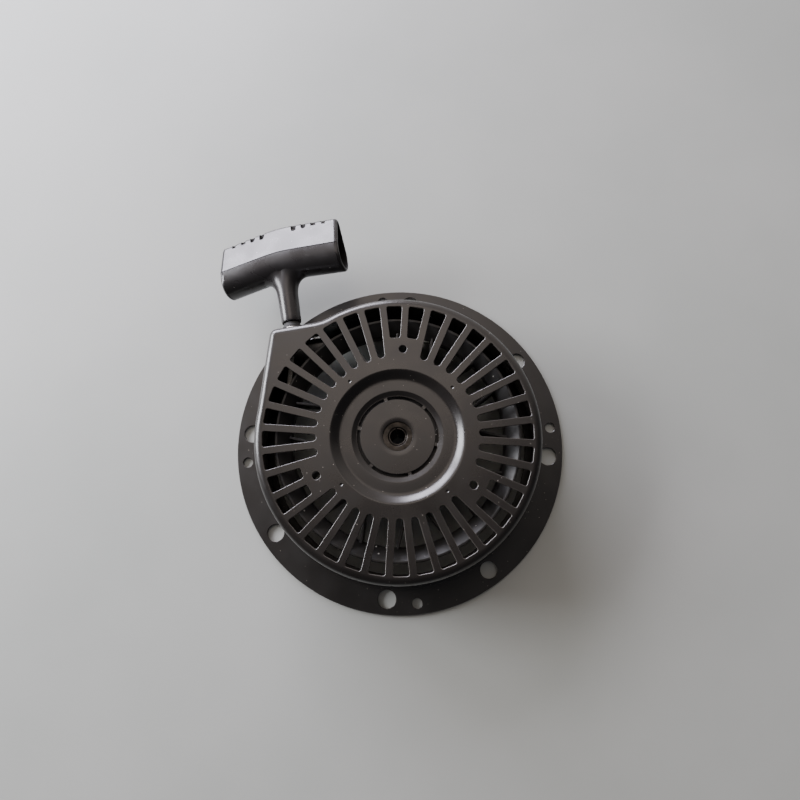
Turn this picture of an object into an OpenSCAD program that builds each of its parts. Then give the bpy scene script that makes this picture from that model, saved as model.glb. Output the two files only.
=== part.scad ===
// Recoil starter for a small engine: pressed cover on a bolt ring, rope pulley, rewind spring,
// two starter dogs and a T handle. Origin: pulley axis at the ring's engine face. +Z: outward,
// away from the engine. +X: through a bolt hole.

/* [Mounting ring] */
// Radius of the ring's outer edge
ring_r = 135; // [130:1:165]
// Radius of the ring's inner edge
ring_bore_r = 104; // [100:1:106]
// Thickness of the ring
ring_t = 2.5; // [2:0.5:4]
// Distance from the ring's outer edge in to the bolt circle
bolt_edge = 12; // [10:1:14]
// Radius of the bolt holes of the first pattern
bolt_hole_r = 7.2; // [4:0.1:8]
// Radius of the bolt holes of the second pattern
alt_hole_r = 6.8; // [4:0.1:8]
// Angle from the first bolt pattern to the second
alt_turn = 40; // [30:1:60]
// Distance from the ring's outer edge in to the small holes' circle
small_edge = 8.5; // [7:0.5:11]
// Radius of the small holes
small_hole_r = 4; // [2:0.1:5]
// Angle from the first bolt pattern to the small holes
small_turn = 11; // [9:0.5:20]

/* [Cover] */
// Height of the cover's top face above the ring's engine face
cover_h = 60; // [56:1:80]
// Radius of the cover at its shoulder
cover_r = 107.5; // [104:0.5:112]
// How far the wall leans out from the shoulder to the foot
wall_draft = 3.5; // [1:0.5:5]
// Thickness of the cover's sheet
sheet = 1.8; // [1.2:0.1:2.5]
// Rounding of the shoulder
shoulder_r = 6; // [3:0.5:8]
// How far the toe reaches out from the wall's foot
toe_w = 4.2; // [3:0.2:5]
// Angle that the louvres are turned on the ring
louvre_turn = 1; // [-5:0.5:5]

/* [Louvres] */
// Number of louvre slots
slot_count = 36; // [24:12:36]
// Radius of the slots' outer ends
slot_out_r = 100.3; // [90:0.5:100.5]
// Radius of the slots' inner ends
slot_in_r = 60.3; // [55:0.5:70]
// Radius of the inner ends of the short slots
short_in_r = 75; // [73:0.5:85]
// Width of the ribs between the slots
rib_w = 5.6; // [3:0.2:7]
// Radius of the screen holes
screen_hole_r = 3; // [2:0.2:4]
// Radius of the circle that the screen holes are on
screen_circle_r = 66.2; // [64:0.2:68]

/* [Recess] */
// Radius of the recess at the top face
recess_r = 49.8; // [46:0.2:52]
// Depth of the recess
recess_d = 4; // [2:0.5:5]
// Width of the slope down into the recess
recess_slope = 5.2; // [3:0.2:6]
// Depth of the second step
step_d = 1.5; // [1:0.5:2.5]
// Radius of the centre disc
disc_r = 28.2; // [24:0.2:29]
// Gap round the centre disc
lance_gap = 2.2; // [1:0.1:2.5]
// Radius of the hole in the centre disc
disc_hole_r = 11; // [9:0.5:14]

/* [Rope outlet] */
// Direction in which the rope is pulled
rope_angle = 104.0047; // [100:0.0001:108]
// Distance of the outlet's front wall from the pulley axis
outlet_front = 98.5; // [94:0.5:104]
// Radius at which the rope's line passes the pulley axis
rope_line_r = 68.8; // [64:0.2:72]
// Height of the rope above the ring's engine face
rope_z = 41; // [39:0.5:43]
// Radius of the rope
rope_r = 1.8; // [1.4:0.1:2.2]

/* [Pulley] */
// Outer radius of the pulley's flanges
pulley_r = 92.4; // [90:0.2:96]
// Radius of the groove's floor
groove_r = 83; // [78:0.5:84]
// Distance between the pulley's flange edges
pulley_w = 24.8; // [20:0.2:26]
// Height of the spokes
spoke_h = 16; // [12:0.5:18]
// Thickness of the spokes
spoke_t = 2; // [1.5:0.1:3]
// Outer radius of the spring cup
cup_r = 47; // [44:0.5:50]
// Wall of the spring cup
cup_wall = 3; // [2:0.2:4]

/* [Centre] */
// Outer radius of the centre post
post_r = 11; // [9:0.2:12]
// Radius of the hole down the centre post
post_bore_r = 6.6; // [5:0.1:7]
// Wall of the spring pin
pin_wall = 1; // [0.8:0.1:1.5]
// Radial clearance of a turning fit
run_gap = 0.06; // [0.02:0.01:0.1]

/* [Starter dogs] */
// Radius of the dogs' pivot circle
dog_circle_r = 26; // [24:0.5:28]
// Radius of the dogs' pivot pins
dog_pin_r = 3; // [2.5:0.1:3.5]
// Distance from a dog's pivot to its tip
dog_reach = 24; // [22:0.5:26]
// Angle through which a dog swings out
dog_swing = 42; // [30:1:45]
// Angle through which the cam plate turns to swing the dogs out
cam_turn = 28; // [20:1:30]

/* [Handle] */
// Length of the handle's bar
bar_len = 102; // [85:1:120]
// Depth of the bar along the pull
bar_depth = 45; // [35:1:48]
// Thickness of the bar
bar_t = 28; // [26:1:32]
// Wall of the bar
bar_wall = 2.6; // [2:0.2:4]
// Length of the stem
stem_len = 38; // [28:1:48]
// Radius of the stem at its tip
stem_tip_r = 7.8; // [6:0.2:9]
// Angle that the bar is rolled about the rope
handle_roll = 12; // [0:1:20]

/* [Hidden] */
$fn = 96;

// colours
paint = [0.09, 0.085, 0.08];
black_plastic = [0.13, 0.13, 0.14];
grip_plastic = [0.17, 0.16, 0.19];
steel = [0.62, 0.62, 0.64];
zinc = [0.72, 0.70, 0.62];
black_steel = [0.16, 0.15, 0.15];
spring_steel = [0.35, 0.37, 0.42];
rope_white = [0.86, 0.85, 0.80];
rubber = [0.07, 0.07, 0.07];
nylon = [0.90, 0.89, 0.84];

// how far a cut runs past a face
past = 1;

// ---- cover ----
toe_z = ring_t;
toe_top_z = toe_z + sheet;
foot_bend = 2.5;
// how far the toe keeps clear of the ring's holes
toe_play = 1.2;
foot_r = cover_r + wall_draft;
foot_top_z = toe_top_z + foot_bend;
shoulder_z = cover_h - shoulder_r;
recess_z = cover_h - recess_d;
disc_z = recess_z - step_d;
// narrow flat lip outside the gap, then the slope up to the recess floor
step_lip = 0.5;
step_r = disc_r + lance_gap + step_lip;
step_slope = 3.4;
recess_floor_r = recess_r - recess_slope;
// how far the underside of a slope is moved out, so that its sheet keeps its thickness
slope_shift = sheet / 2;
bridge_count = 6;
bridge_turn = 52.5;
bridge_angle = 6;
slot_pitch = 360 / slot_count;
slot_corner = 1.6;
screen_count = 3;
screen_turn = 90;
bolt_count = 4;
bolt_circle_r = ring_r - bolt_edge;
small_circle_r = ring_r - small_edge;

function arc(cx, cy, r, from, to, steps) =
    [for (i = [0:steps]) let (a = from + (to - from) * i / steps) [cx + r * cos(a), cy + r * sin(a)]];

// sections are points of [distance from the axis, height]
cover_section = concat(
    [[0, toe_z], [0, cover_h]],
    arc(cover_r - shoulder_r, shoulder_z, shoulder_r, 90, 0, 6),
    arc(foot_r + foot_bend, foot_top_z, foot_bend, 180, 270, 3),
    [[foot_r + toe_w, toe_top_z], [foot_r + toe_w, toe_z]]);

cavity_section = concat(
    [[0, toe_z - past], [0, cover_h - sheet]],
    arc(cover_r - shoulder_r, shoulder_z, shoulder_r - sheet, 90, 0, 6),
    [[foot_r - sheet, foot_top_z], [foot_r, toe_z - past]]);

// what the pressed recess takes off the cover, and the pan that closes it
recess_cut = [[0, disc_z - sheet - past], [0, cover_h + past], [recess_r, cover_h + past],
    [recess_r, cover_h], [recess_floor_r, recess_z], [recess_floor_r, disc_z - sheet - past]];
recess_pan = [[disc_hole_r, disc_z - sheet], [disc_hole_r, disc_z], [step_r, disc_z],
    [step_r + step_slope, recess_z], [recess_floor_r, recess_z], [recess_r, cover_h],
    [recess_r + slope_shift, cover_h], [recess_r + slope_shift, cover_h - sheet],
    [recess_floor_r + slope_shift, recess_z - sheet],
    [step_r + step_slope + slope_shift, recess_z - sheet], [step_r + slope_shift, disc_z - sheet]];

// ---- rope outlet: a straight side wall nearly tangent to the cover, and a front wall ----
outlet_side_angle = 178.3875;
outlet_side_inset = 0.3;
wall_reach = 100;
wall_lean = wall_draft / (shoulder_z - foot_top_z);
wall_at_rope = outlet_front + wall_lean * (shoulder_z - rope_z);
rope_dir = [cos(rope_angle), sin(rope_angle)];
rope_side = [sin(rope_angle), -cos(rope_angle)];
eyelet_tube_r = 4.6;
eyelet_bore_r = rope_r + 1.2;
eyelet_flange_r = 8;
eyelet_flange_t = 2;
eyelet_flare_t = 1.5;
eyelet_flare_r = 6.4;
grommet_r = 7.4;
grommet_t = 4.6;
handle_gap = 0.4;
// distances along the rope's line
eyelet_face = wall_at_rope + eyelet_flange_t;
grommet_face = eyelet_face + grommet_t;
handle_start = grommet_face + handle_gap;
eyelet_back = wall_at_rope - sheet - 0.4;
rope_bend = eyelet_back - eyelet_flare_t - 2;

// ---- pulley ----
pulley_fn = 120;
web_z = 30;
web_t = 3;
cup_top_z = 47;
hub_r = 15;
hub_bore_r = post_r + run_gap;
hub_z = 19.1;
rim_wall = 2;
groove_w = 6;
flange_edge = 1.6;
flange_lip = 1.9;
rim_in_r = groove_r - rim_wall;
spoke_z = rope_z - spoke_h / 2;
spoke_pairs = 8;
spoke_turn = 17.5;
spoke_in_spread = 3;
spoke_out_spread = 13;
// the second layer of rope lies in the valleys of the first
layer_step = 1.75 * rope_r;
winding_r = groove_r + 2 * rope_r + layer_step;
rope_leaves_r = winding_r - rope_r;
winding_w = 4 * rope_r + 0.2;
knot_angle = 82;
knot_circle_r = rim_in_r - 5;
knot_r = 5;

// ---- centre, from the cover towards the engine ----
post_flange_r = 20;
post_flange_t = 3;
post_top_z = disc_z - sheet;
post_flange_z = post_top_z - post_flange_t;
post_z = 19.2;
post_chamfer = 0.8;
pin_z = 6;
pin_top_z = post_top_z - 0.6;
pin_slit = 1.4;
retainer_hub_r = 9;
retainer_r = 23;
retainer_z = 7;
retainer_t = 2;
stack_bore_r = retainer_hub_r + run_gap;
washer_r = 15.5;
brake_washer_t = 1;
brake_washer_z = retainer_z + retainer_t;
brake_coil_r = 12;
brake_wire_r = 0.6;
cam_z = 14;
cam_t = 2.4;
cam_r = 38;
axial_gap = 0.08;
thrust_washer_z = cam_z + cam_t + axial_gap;
brake_spring_z = brake_washer_z + brake_washer_t;
keeper_t = 1.6;
keeper_z = cup_top_z;
keeper_bore_r = 13;
upper_washer_z = keeper_z + keeper_t + axial_gap;

// ---- rewind spring ----
strip_t = 0.9;
spring_h = 12;
spring_z = web_z + web_t + 0.4;
spring_turns = 7;
spring_steps = 24;
spring_in_r = post_r + 1.3;
spring_out_r = cup_r - cup_wall - 1.3;
notch_w = 2.4;
hook_depth = 1.8;

// ---- starter dogs ----
dog_z = 19.3;
dog_t = 5;
dog_hub_r = 6.4;
dog_tip_r = 3;
// direction of a dog at rest, turned from the line out of the axis to its pivot
dog_rest = -104;
peg_r = 2;
peg_at = 11;
peg_play = 0.3;
peg_z = cam_z - 0.5;
slot_steps = 14;
pivot_head_z = cam_z + cam_t + 1;
pivot_head_t = 1.5;
pivot_head_r = 5;
boss_r = 6;
boss_z = dog_z + dog_t + 0.3;
dog_coil_r = boss_r + 1;
dog_wire_r = 0.5;

// ---- handle ----
rope_hole_r = rope_r + 0.4;
stem_root_r = 8.8;
bar_nose_r = 4.6;
bar_back_r = 8.5;
insert_r = 5.2;
insert_t = 1.6;
seat_at = stem_len + bar_wall;
handle_knot_at = seat_at + insert_t + knot_r;

// ---- helpers ----
// the frame on the rope's line: Y along the pull, at a distance from the pulley axis
module on_rope(along) {
    translate([rope_dir[0] * along - rope_side[0] * rope_line_r,
        rope_dir[1] * along - rope_side[1] * rope_line_r, rope_z])
        rotate([0, 0, rope_angle - 90]) children();
}

module rope_cylinder(from, to, r) {
    on_rope(from) rotate([-90, 0, 0]) cylinder(r = r, h = to - from);
}

module round_plate(r, bore, z, t) {
    translate([0, 0, z]) difference() {
        cylinder(r = r, h = t);
        translate([0, 0, -past]) cylinder(r = bore, h = t + 2 * past);
    }
}

module around(count, turn = 0) {
    for (i = [0:count - 1]) rotate([0, 0, turn + i * 360 / count]) children();
}

// a wire wound round the Z axis
module coil(r, wire_r, z, height, turns) {
    sides = 6;
    rings = ceil(turns * 22);
    points = [for (i = [0:rings], s = [0:sides - 1])
        let (a = 360 * turns * i / rings, b = 360 * s / sides, reach = r + wire_r * cos(b))
        [reach * cos(a), reach * sin(a), z + wire_r + (height - 2 * wire_r) * i / rings + wire_r * sin(b)]];
    walls = [for (i = [0:rings - 1], s = [0:sides - 1]) let (t = (s + 1) % sides)
        [i * sides + s, i * sides + t, (i + 1) * sides + t, (i + 1) * sides + s]];
    start = [for (s = [sides - 1:-1:0]) s];
    end = [for (s = [0:sides - 1]) rings * sides + s];
    polyhedron(points, concat([start], walls, [end]));
}

// ---- cover and ring ----
// a straight wall at an angle, from the point nearest the axis towards one side
module straight_wall(section, angle, shift, side) {
    rotate([0, 0, angle]) translate([shift, side > 0 ? wall_reach : 0, 0]) rotate([90, 0, 0])
        linear_extrude(height = wall_reach) polygon(section);
}

// the round body and its outlet: the same for the outside and for the cavity
module cover_body(section) {
    rotate_extrude($fn = pulley_fn) polygon(section);
    intersection() {
        straight_wall(section, outlet_side_angle, -outlet_side_inset, -1);
        straight_wall(section, rope_angle, outlet_front - cover_r, 1);
    }
}

module slot(inner_r) {
    in_half = (inner_r + rib_w / 2) * sin(slot_pitch / 2) - rib_w / 2;
    out_half = slot_out_r * sin(slot_pitch / 2) - rib_w / 2;
    corner_at = slot_out_r - slot_corner;
    // the short slots end nearly square, the others round
    inner_end = inner_r == short_in_r
        ? concat(arc(inner_r + slot_corner, in_half - slot_corner, slot_corner, 90, 180, 2),
            arc(inner_r + slot_corner, slot_corner - in_half, slot_corner, 180, 270, 2))
        : arc(inner_r + in_half, 0, in_half, 90, 270, 6);
    polygon(concat(inner_end,
        arc(corner_at, slot_corner - out_half, slot_corner, -90, 0, 2),
        arc(corner_at, out_half - slot_corner, slot_corner, 0, 90, 2)));
}

function near_screen_hole(a) =
    min([for (k = [-1:screen_count]) abs(a - screen_turn - k * 360 / screen_count)]) < slot_pitch;

module louvre_cuts() {
    for (i = [0:slot_count - 1]) {
        angle = (i + 0.5) * slot_pitch;
        rotate([0, 0, angle]) translate([0, 0, cover_h - sheet - past])
            linear_extrude(height = sheet + 2 * past)
            slot(near_screen_hole(angle) ? short_in_r : slot_in_r);
    }
    around(screen_count, screen_turn) translate([screen_circle_r, 0, cover_h - sheet - past])
        cylinder(r = screen_hole_r, h = sheet + 2 * past);
}

module lance_cuts() {
    around(bridge_count, bridge_turn + bridge_angle / 2)
        rotate_extrude(angle = 360 / bridge_count - bridge_angle)
        translate([disc_r, disc_z - sheet - past]) square([lance_gap, sheet + 2 * past]);
}

module ring_holes(z, depth, play = 0) {
    translate([0, 0, z]) {
        around(bolt_count) translate([bolt_circle_r, 0, 0])
            cylinder(r = bolt_hole_r + play, h = depth);
        around(bolt_count, alt_turn) translate([bolt_circle_r, 0, 0])
            cylinder(r = alt_hole_r + play, h = depth);
        around(bolt_count, small_turn) translate([small_circle_r, 0, 0])
            cylinder(r = small_hole_r + play, h = depth);
    }
}

module housing_cover() {
    toe_limit_r = ring_r - 1;
    toe_cut_h = sheet + foot_bend + 1;
    color(paint) difference() {
        union() {
            difference() {
                cover_body(cover_section);
                cover_body(cavity_section);
                rotate_extrude() polygon(recess_cut);
            }
            rotate_extrude() polygon(recess_pan);
        }
        rotate([0, 0, louvre_turn]) louvre_cuts();
        lance_cuts();
        // the toe ends at the ring's edge and leaves the bolt holes free
        translate([0, 0, toe_z - past]) difference() {
            cylinder(r = ring_r + 20, h = toe_cut_h + past);
            translate([0, 0, -past]) cylinder(r = toe_limit_r, h = toe_cut_h + 3 * past);
        }
        ring_holes(toe_z - past, toe_cut_h + past, toe_play);
        rope_cylinder(wall_at_rope - 8, wall_at_rope + 8, eyelet_tube_r);
    }
}

module mounting_ring() {
    color(paint) difference() {
        cylinder(r = ring_r, h = ring_t);
        translate([0, 0, -past]) cylinder(r = ring_bore_r, h = ring_t + 2 * past);
        ring_holes(-past, ring_t + 2 * past);
    }
}

// ---- rope outlet ----
module rope_eyelet() {
    color(steel) difference() {
        union() {
            rope_cylinder(eyelet_back - eyelet_flare_t, eyelet_face, eyelet_tube_r);
            rope_cylinder(eyelet_back - eyelet_flare_t, eyelet_back, eyelet_flare_r);
            // the flange's back is flat on the leaning wall's most forward point
            rope_cylinder(wall_at_rope + wall_lean * eyelet_flange_r, eyelet_face, eyelet_flange_r);
        }
        rope_cylinder(eyelet_back - 9, eyelet_face + 9, eyelet_bore_r);
    }
}

module eyelet_grommet() {
    color(rubber) difference() {
        on_rope(eyelet_face) rotate([-90, 0, 0]) cylinder(r1 = grommet_r, r2 = grommet_r - 1, h = grommet_t);
        rope_cylinder(eyelet_face - past, grommet_face + past, eyelet_bore_r);
    }
}

// the stretch of rope from the winding to the eyelet
bend_point = rope_dir * rope_bend - rope_side * rope_line_r;
bend_r = norm(bend_point);
run_len = sqrt(bend_r * bend_r - rope_leaves_r * rope_leaves_r);
run_angle = atan2(bend_point[1], bend_point[0]) - asin(rope_leaves_r / bend_r);
// where the rope has come clear of the winding's envelope
clear_r = winding_r + 0.3;
run_from = sqrt(clear_r * clear_r - (rope_leaves_r - rope_r) * (rope_leaves_r - rope_r));

module rope_run() {
    run_dir = [cos(run_angle), sin(run_angle)];
    start = bend_point - run_dir * (run_len - run_from);
    color(rope_white) translate([start[0], start[1], rope_z])
        rotate([0, 0, run_angle - 90]) rotate([-90, 0, 0]) cylinder(r = rope_r, h = run_len - run_from);
}

// ---- pulley ----
module pulley() {
    half_w = pulley_w / 2;
    half_g = groove_w / 2;
    hub_section = [[hub_bore_r, hub_z], [hub_r, hub_z], [hub_r, web_z], [cup_r, web_z],
        [cup_r, cup_top_z], [cup_r - cup_wall, cup_top_z], [cup_r - cup_wall, web_z + web_t],
        [hub_bore_r, web_z + web_t]];
    rim_section = [[pulley_r, half_w - flange_edge], [pulley_r, half_w], [pulley_r - flange_lip, half_w],
        [rim_in_r, half_g + rim_wall / 2], [rim_in_r, -half_g - rim_wall / 2],
        [pulley_r - flange_lip, -half_w], [pulley_r, -half_w], [pulley_r, flange_edge - half_w],
        [groove_r, -half_g], [groove_r, half_g]];
    color(black_plastic) difference() {
        union() {
            rotate_extrude($fn = pulley_fn) polygon(hub_section);
            translate([0, 0, rope_z]) rotate_extrude($fn = pulley_fn) polygon(rim_section);
            around(spoke_pairs, spoke_turn) for (side = [-1, 1]) spoke(side);
            around(2) translate([dog_circle_r, 0, boss_z]) cylinder(r = boss_r, h = web_z + web_t - boss_z);
        }
        around(2) translate([dog_circle_r, 0, boss_z - past]) cylinder(r = dog_pin_r, h = web_z - boss_z + past + 2);
        // notch that holds the rewind spring's outer end
        translate([cup_r - cup_wall - past, -notch_w / 2, spring_z - 0.2])
            cube([cup_wall + 2 * past, notch_w, cup_top_z]);
        rotate([0, 0, knot_angle]) translate([knot_circle_r, 0, rope_z])
            rotate([0, 90, 0]) cylinder(r = rope_r + 0.2, h = groove_r - knot_circle_r + 2);
    }
}

module spoke(side) {
    from = [(cup_r - 1) * cos(spoke_in_spread), side * (cup_r - 1) * sin(spoke_in_spread)];
    to_r = rim_in_r + rim_wall / 2;
    to = [to_r * cos(spoke_out_spread), side * to_r * sin(spoke_out_spread)];
    translate([from[0], from[1], spoke_z]) rotate([0, 0, atan2(to[1] - from[1], to[0] - from[0])])
        translate([0, -spoke_t / 2, 0]) cube([norm(to - from), spoke_t, spoke_h]);
}

module rewind_spring() {
    steps = spring_turns * spring_steps;
    function strip(i) = spring_in_r + (spring_out_r - spring_in_r) * i / steps;
    function side_points(shift) = [for (i = [0:steps]) let (a = 360 * i / spring_steps)
        (strip(i) + shift) * [cos(a), sin(a)]];
    outer = side_points(strip_t);
    inner = side_points(0);
    color(spring_steel) translate([0, 0, spring_z]) linear_extrude(height = spring_h) {
        polygon(concat(outer, [for (i = [steps:-1:0]) inner[i]]));
        translate([post_r - hook_depth, 0]) square([spring_in_r - post_r + hook_depth + strip_t / 2, strip_t]);
        translate([spring_out_r, -strip_t]) square([cup_wall + 0.8, strip_t]);
    }
}

module spring_cover() {
    color(black_plastic) round_plate(cup_r - 1.4, keeper_bore_r, keeper_z, keeper_t);
}

module rope_winding() {
    shoulder = rope_r;
    half = winding_w / 2;
    section = [[groove_r, half - shoulder], [groove_r, shoulder - half], [groove_r + shoulder, -half],
        [winding_r - shoulder, -half], [winding_r, shoulder - half], [winding_r, half - shoulder],
        [winding_r - shoulder, half], [groove_r + shoulder, half]];
    color(rope_white) translate([0, 0, rope_z]) rotate_extrude($fn = pulley_fn) polygon(section);
}

module rope_knot() {
    color(rope_white) rotate([0, 0, knot_angle]) translate([knot_circle_r, 0, rope_z]) {
        sphere(r = knot_r - 0.4);
        rotate([0, 90, 0]) cylinder(r = rope_r, h = groove_r - knot_circle_r - 0.1);
    }
}

// ---- centre stack ----
module centre_post() {
    color(black_steel) difference() {
        union() {
            translate([0, 0, post_z]) cylinder(r = post_r, h = post_top_z - post_z);
            translate([0, 0, post_flange_z]) cylinder(r = post_flange_r, h = post_flange_t);
        }
        translate([0, 0, post_z - past]) cylinder(r = post_bore_r, h = post_top_z - post_z + 2 * past);
        translate([0, 0, post_top_z - post_chamfer])
            cylinder(r1 = post_bore_r, r2 = post_bore_r + post_chamfer + 0.01, h = post_chamfer + 0.01);
        // groove that holds the rewind spring's inner end
        translate([post_r - hook_depth - 0.3, -0.35, spring_z - 0.3])
            cube([hook_depth + past, strip_t + 0.7, spring_h + 0.6]);
    }
}

module spring_pin() {
    color(black_steel) difference() {
        translate([0, 0, pin_z]) cylinder(r = post_bore_r, h = pin_top_z - pin_z);
        translate([0, 0, pin_z - past]) cylinder(r = post_bore_r - pin_wall, h = pin_top_z - pin_z + 2 * past);
        rotate([0, 0, rope_angle]) translate([0, -pin_slit / 2, pin_z - past])
            cube([post_r, pin_slit, pin_top_z - pin_z + 2 * past]);
    }
}

module dog_retainer() {
    color(zinc) difference() {
        union() {
            translate([0, 0, retainer_z]) cylinder(r = retainer_r, h = retainer_t);
            translate([0, 0, retainer_z]) cylinder(r = retainer_hub_r, h = post_z - retainer_z);
        }
        translate([0, 0, retainer_z - past]) cylinder(r = post_bore_r, h = post_z - retainer_z + 2 * past);
    }
}

module upper_washer() {
    color(nylon) round_plate(washer_r + 2, hub_bore_r, upper_washer_z, post_flange_z - axial_gap - upper_washer_z);
}

module thrust_washer() {
    color(nylon) round_plate(washer_r, stack_bore_r, thrust_washer_z, hub_z - thrust_washer_z);
}

module brake_washer() {
    color(nylon) round_plate(washer_r, retainer_hub_r, brake_washer_z, brake_washer_t);
}

module brake_spring() {
    color(spring_steel) coil(brake_coil_r, brake_wire_r, brake_spring_z, cam_z - axial_gap - brake_spring_z, 1.6);
}

// ---- starter dogs and their cam ----
// where a dog's peg is, seen from the cam plate, when the dog has swung a share of its way
function peg_point(share) =
    let (dog = dog_rest + dog_swing * share, back = -cam_turn * share,
        x = dog_circle_r + peg_at * cos(dog), y = peg_at * sin(dog))
    [x * cos(back) - y * sin(back), x * sin(back) + y * cos(back)];

module cam_plate() {
    color(zinc) translate([0, 0, cam_z]) difference() {
        cylinder(r = cam_r, h = cam_t);
        translate([0, 0, -past]) cylinder(r = stack_bore_r, h = cam_t + 2 * past);
        around(2) for (i = [0:slot_steps]) translate(concat(peg_point(i / slot_steps), [-past]))
            cylinder(r = peg_r + peg_play, h = cam_t + 2 * past, $fn = 48);
    }
}

module dog() {
    color(steel) translate([dog_circle_r, 0, 0]) rotate([0, 0, dog_rest]) difference() {
        union() {
            translate([0, 0, dog_z]) {
                cylinder(r = dog_hub_r, h = dog_t);
                translate([dog_reach - dog_tip_r, 0, 0]) cylinder(r = dog_tip_r, h = dog_t);
                linear_extrude(height = dog_t) polygon([[0, -dog_hub_r], [dog_reach - dog_tip_r, -dog_tip_r],
                    [dog_reach - dog_tip_r, dog_tip_r], [0, dog_hub_r]]);
            }
            translate([peg_at, 0, peg_z]) cylinder(r = peg_r, h = dog_z - peg_z + past);
        }
        translate([0, 0, dog_z - past]) cylinder(r = dog_pin_r + run_gap, h = dog_t + 2 * past);
    }
}

module dog_pivot() {
    color(steel) translate([dog_circle_r, 0, 0]) {
        translate([0, 0, pivot_head_z]) cylinder(r = pivot_head_r, h = pivot_head_t);
        translate([0, 0, pivot_head_z]) cylinder(r = dog_pin_r, h = web_z + 2 - pivot_head_z);
    }
}

module dog_spring() {
    color(spring_steel) translate([dog_circle_r, 0, 0])
        coil(dog_coil_r, dog_wire_r, boss_z + 0.2, web_z - boss_z - 0.4, 3);
}

module dog_a() { dog(); }
module dog_b() { rotate([0, 0, 180]) dog(); }
module dog_pivot_a() { dog_pivot(); }
module dog_pivot_b() { rotate([0, 0, 180]) dog_pivot(); }
module dog_spring_a() { dog_spring(); }
module dog_spring_b() { rotate([0, 0, 180]) dog_spring(); }

// ---- handle ----
module in_handle() {
    on_rope(handle_start) rotate([0, -handle_roll, 0]) children();
}

// the bar's section: two round corners by the stem and a narrower round nose
module bar_section(wall) {
    back_x = stem_len + bar_back_r;
    back_y = bar_t / 2 - bar_back_r;
    nose_x = stem_len + bar_depth - bar_nose_r;
    apart = norm([nose_x - back_x, back_y]);
    side_angle = acos((bar_back_r - bar_nose_r) / apart) - atan2(back_y, nose_x - back_x);
    polygon(concat(
        arc(nose_x, 0, bar_nose_r - wall, -side_angle, side_angle, 6),
        arc(back_x, back_y, bar_back_r - wall, side_angle, 180, 6),
        arc(back_x, -back_y, bar_back_r - wall, 180, 360 - side_angle, 6)));
}

module bar(length, wall) {
    translate([-length / 2, 0, 0]) rotate([90, 0, 90]) linear_extrude(height = length) bar_section(wall);
}

module handle_grip() {
    color(grip_plastic) in_handle() difference() {
        union() {
            bar(bar_len, 0);
            rotate([-90, 0, 0]) cylinder(r1 = stem_tip_r, r2 = stem_root_r, h = stem_len + bar_wall / 2);
        }
        bar(bar_len + 2 * past, bar_wall);
        translate([0, -past, 0]) rotate([-90, 0, 0]) cylinder(r = rope_hole_r, h = seat_at + 2 * past);
    }
}

module handle_insert() {
    color(steel) in_handle() translate([0, seat_at, 0]) rotate([-90, 0, 0])
        round_plate(insert_r, rope_hole_r, 0, insert_t);
}

module handle_knot() {
    color(rope_white) in_handle() difference() {
        translate([0, handle_knot_at, 0]) sphere(r = knot_r);
        translate([0, seat_at, 0]) rotate([-90, 0, 0]) cylinder(r = rope_r, h = insert_t + knot_r);
    }
}

module rope_lead() {
    color(rope_white) rope_cylinder(rope_bend + 0.8, handle_start + handle_knot_at, rope_r);
}

housing_cover();
mounting_ring();
centre_post();
spring_pin();
dog_retainer();
rope_eyelet();
eyelet_grommet();
rope_run();
pulley();
rewind_spring();
spring_cover();
upper_washer();
thrust_washer();
brake_washer();
brake_spring();
cam_plate();
dog_a();
dog_b();
dog_pivot_a();
dog_pivot_b();
dog_spring_a();
dog_spring_b();
rope_winding();
rope_knot();
handle_grip();
handle_insert();
handle_knot();
rope_lead();
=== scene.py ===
import math

import bmesh
import bpy
import numpy as np
from mathutils import Matrix, Vector
from mathutils.geometry import delaunay_2d_cdt


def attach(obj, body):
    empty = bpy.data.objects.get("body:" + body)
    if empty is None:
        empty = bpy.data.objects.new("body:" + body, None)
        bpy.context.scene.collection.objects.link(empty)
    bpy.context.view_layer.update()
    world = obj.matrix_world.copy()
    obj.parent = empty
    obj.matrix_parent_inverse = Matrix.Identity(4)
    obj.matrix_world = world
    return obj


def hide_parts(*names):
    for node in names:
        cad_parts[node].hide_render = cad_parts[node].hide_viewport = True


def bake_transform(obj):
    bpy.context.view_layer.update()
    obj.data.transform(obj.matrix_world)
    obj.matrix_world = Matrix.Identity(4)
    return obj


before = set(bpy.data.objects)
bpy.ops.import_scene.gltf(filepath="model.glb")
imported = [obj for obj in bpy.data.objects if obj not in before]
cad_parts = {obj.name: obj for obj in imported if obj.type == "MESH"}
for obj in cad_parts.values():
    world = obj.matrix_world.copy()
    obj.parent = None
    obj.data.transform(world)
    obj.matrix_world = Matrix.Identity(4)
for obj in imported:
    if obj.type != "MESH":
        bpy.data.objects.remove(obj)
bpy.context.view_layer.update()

# ---------------------------------------------------------------- camera
cam_data = bpy.data.cameras.new("camera")
cam_data.lens = 26.55
cam_data.sensor_width = 36.0
camera = bpy.data.objects.new("camera", cam_data)
bpy.context.scene.collection.objects.link(camera)
camera.location = (0.01529, -0.06109, 0.49093)
camera.rotation_euler = tuple(math.radians(a) for a in (11.608, 1.141, 4.5))
bpy.context.scene.camera = camera

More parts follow.
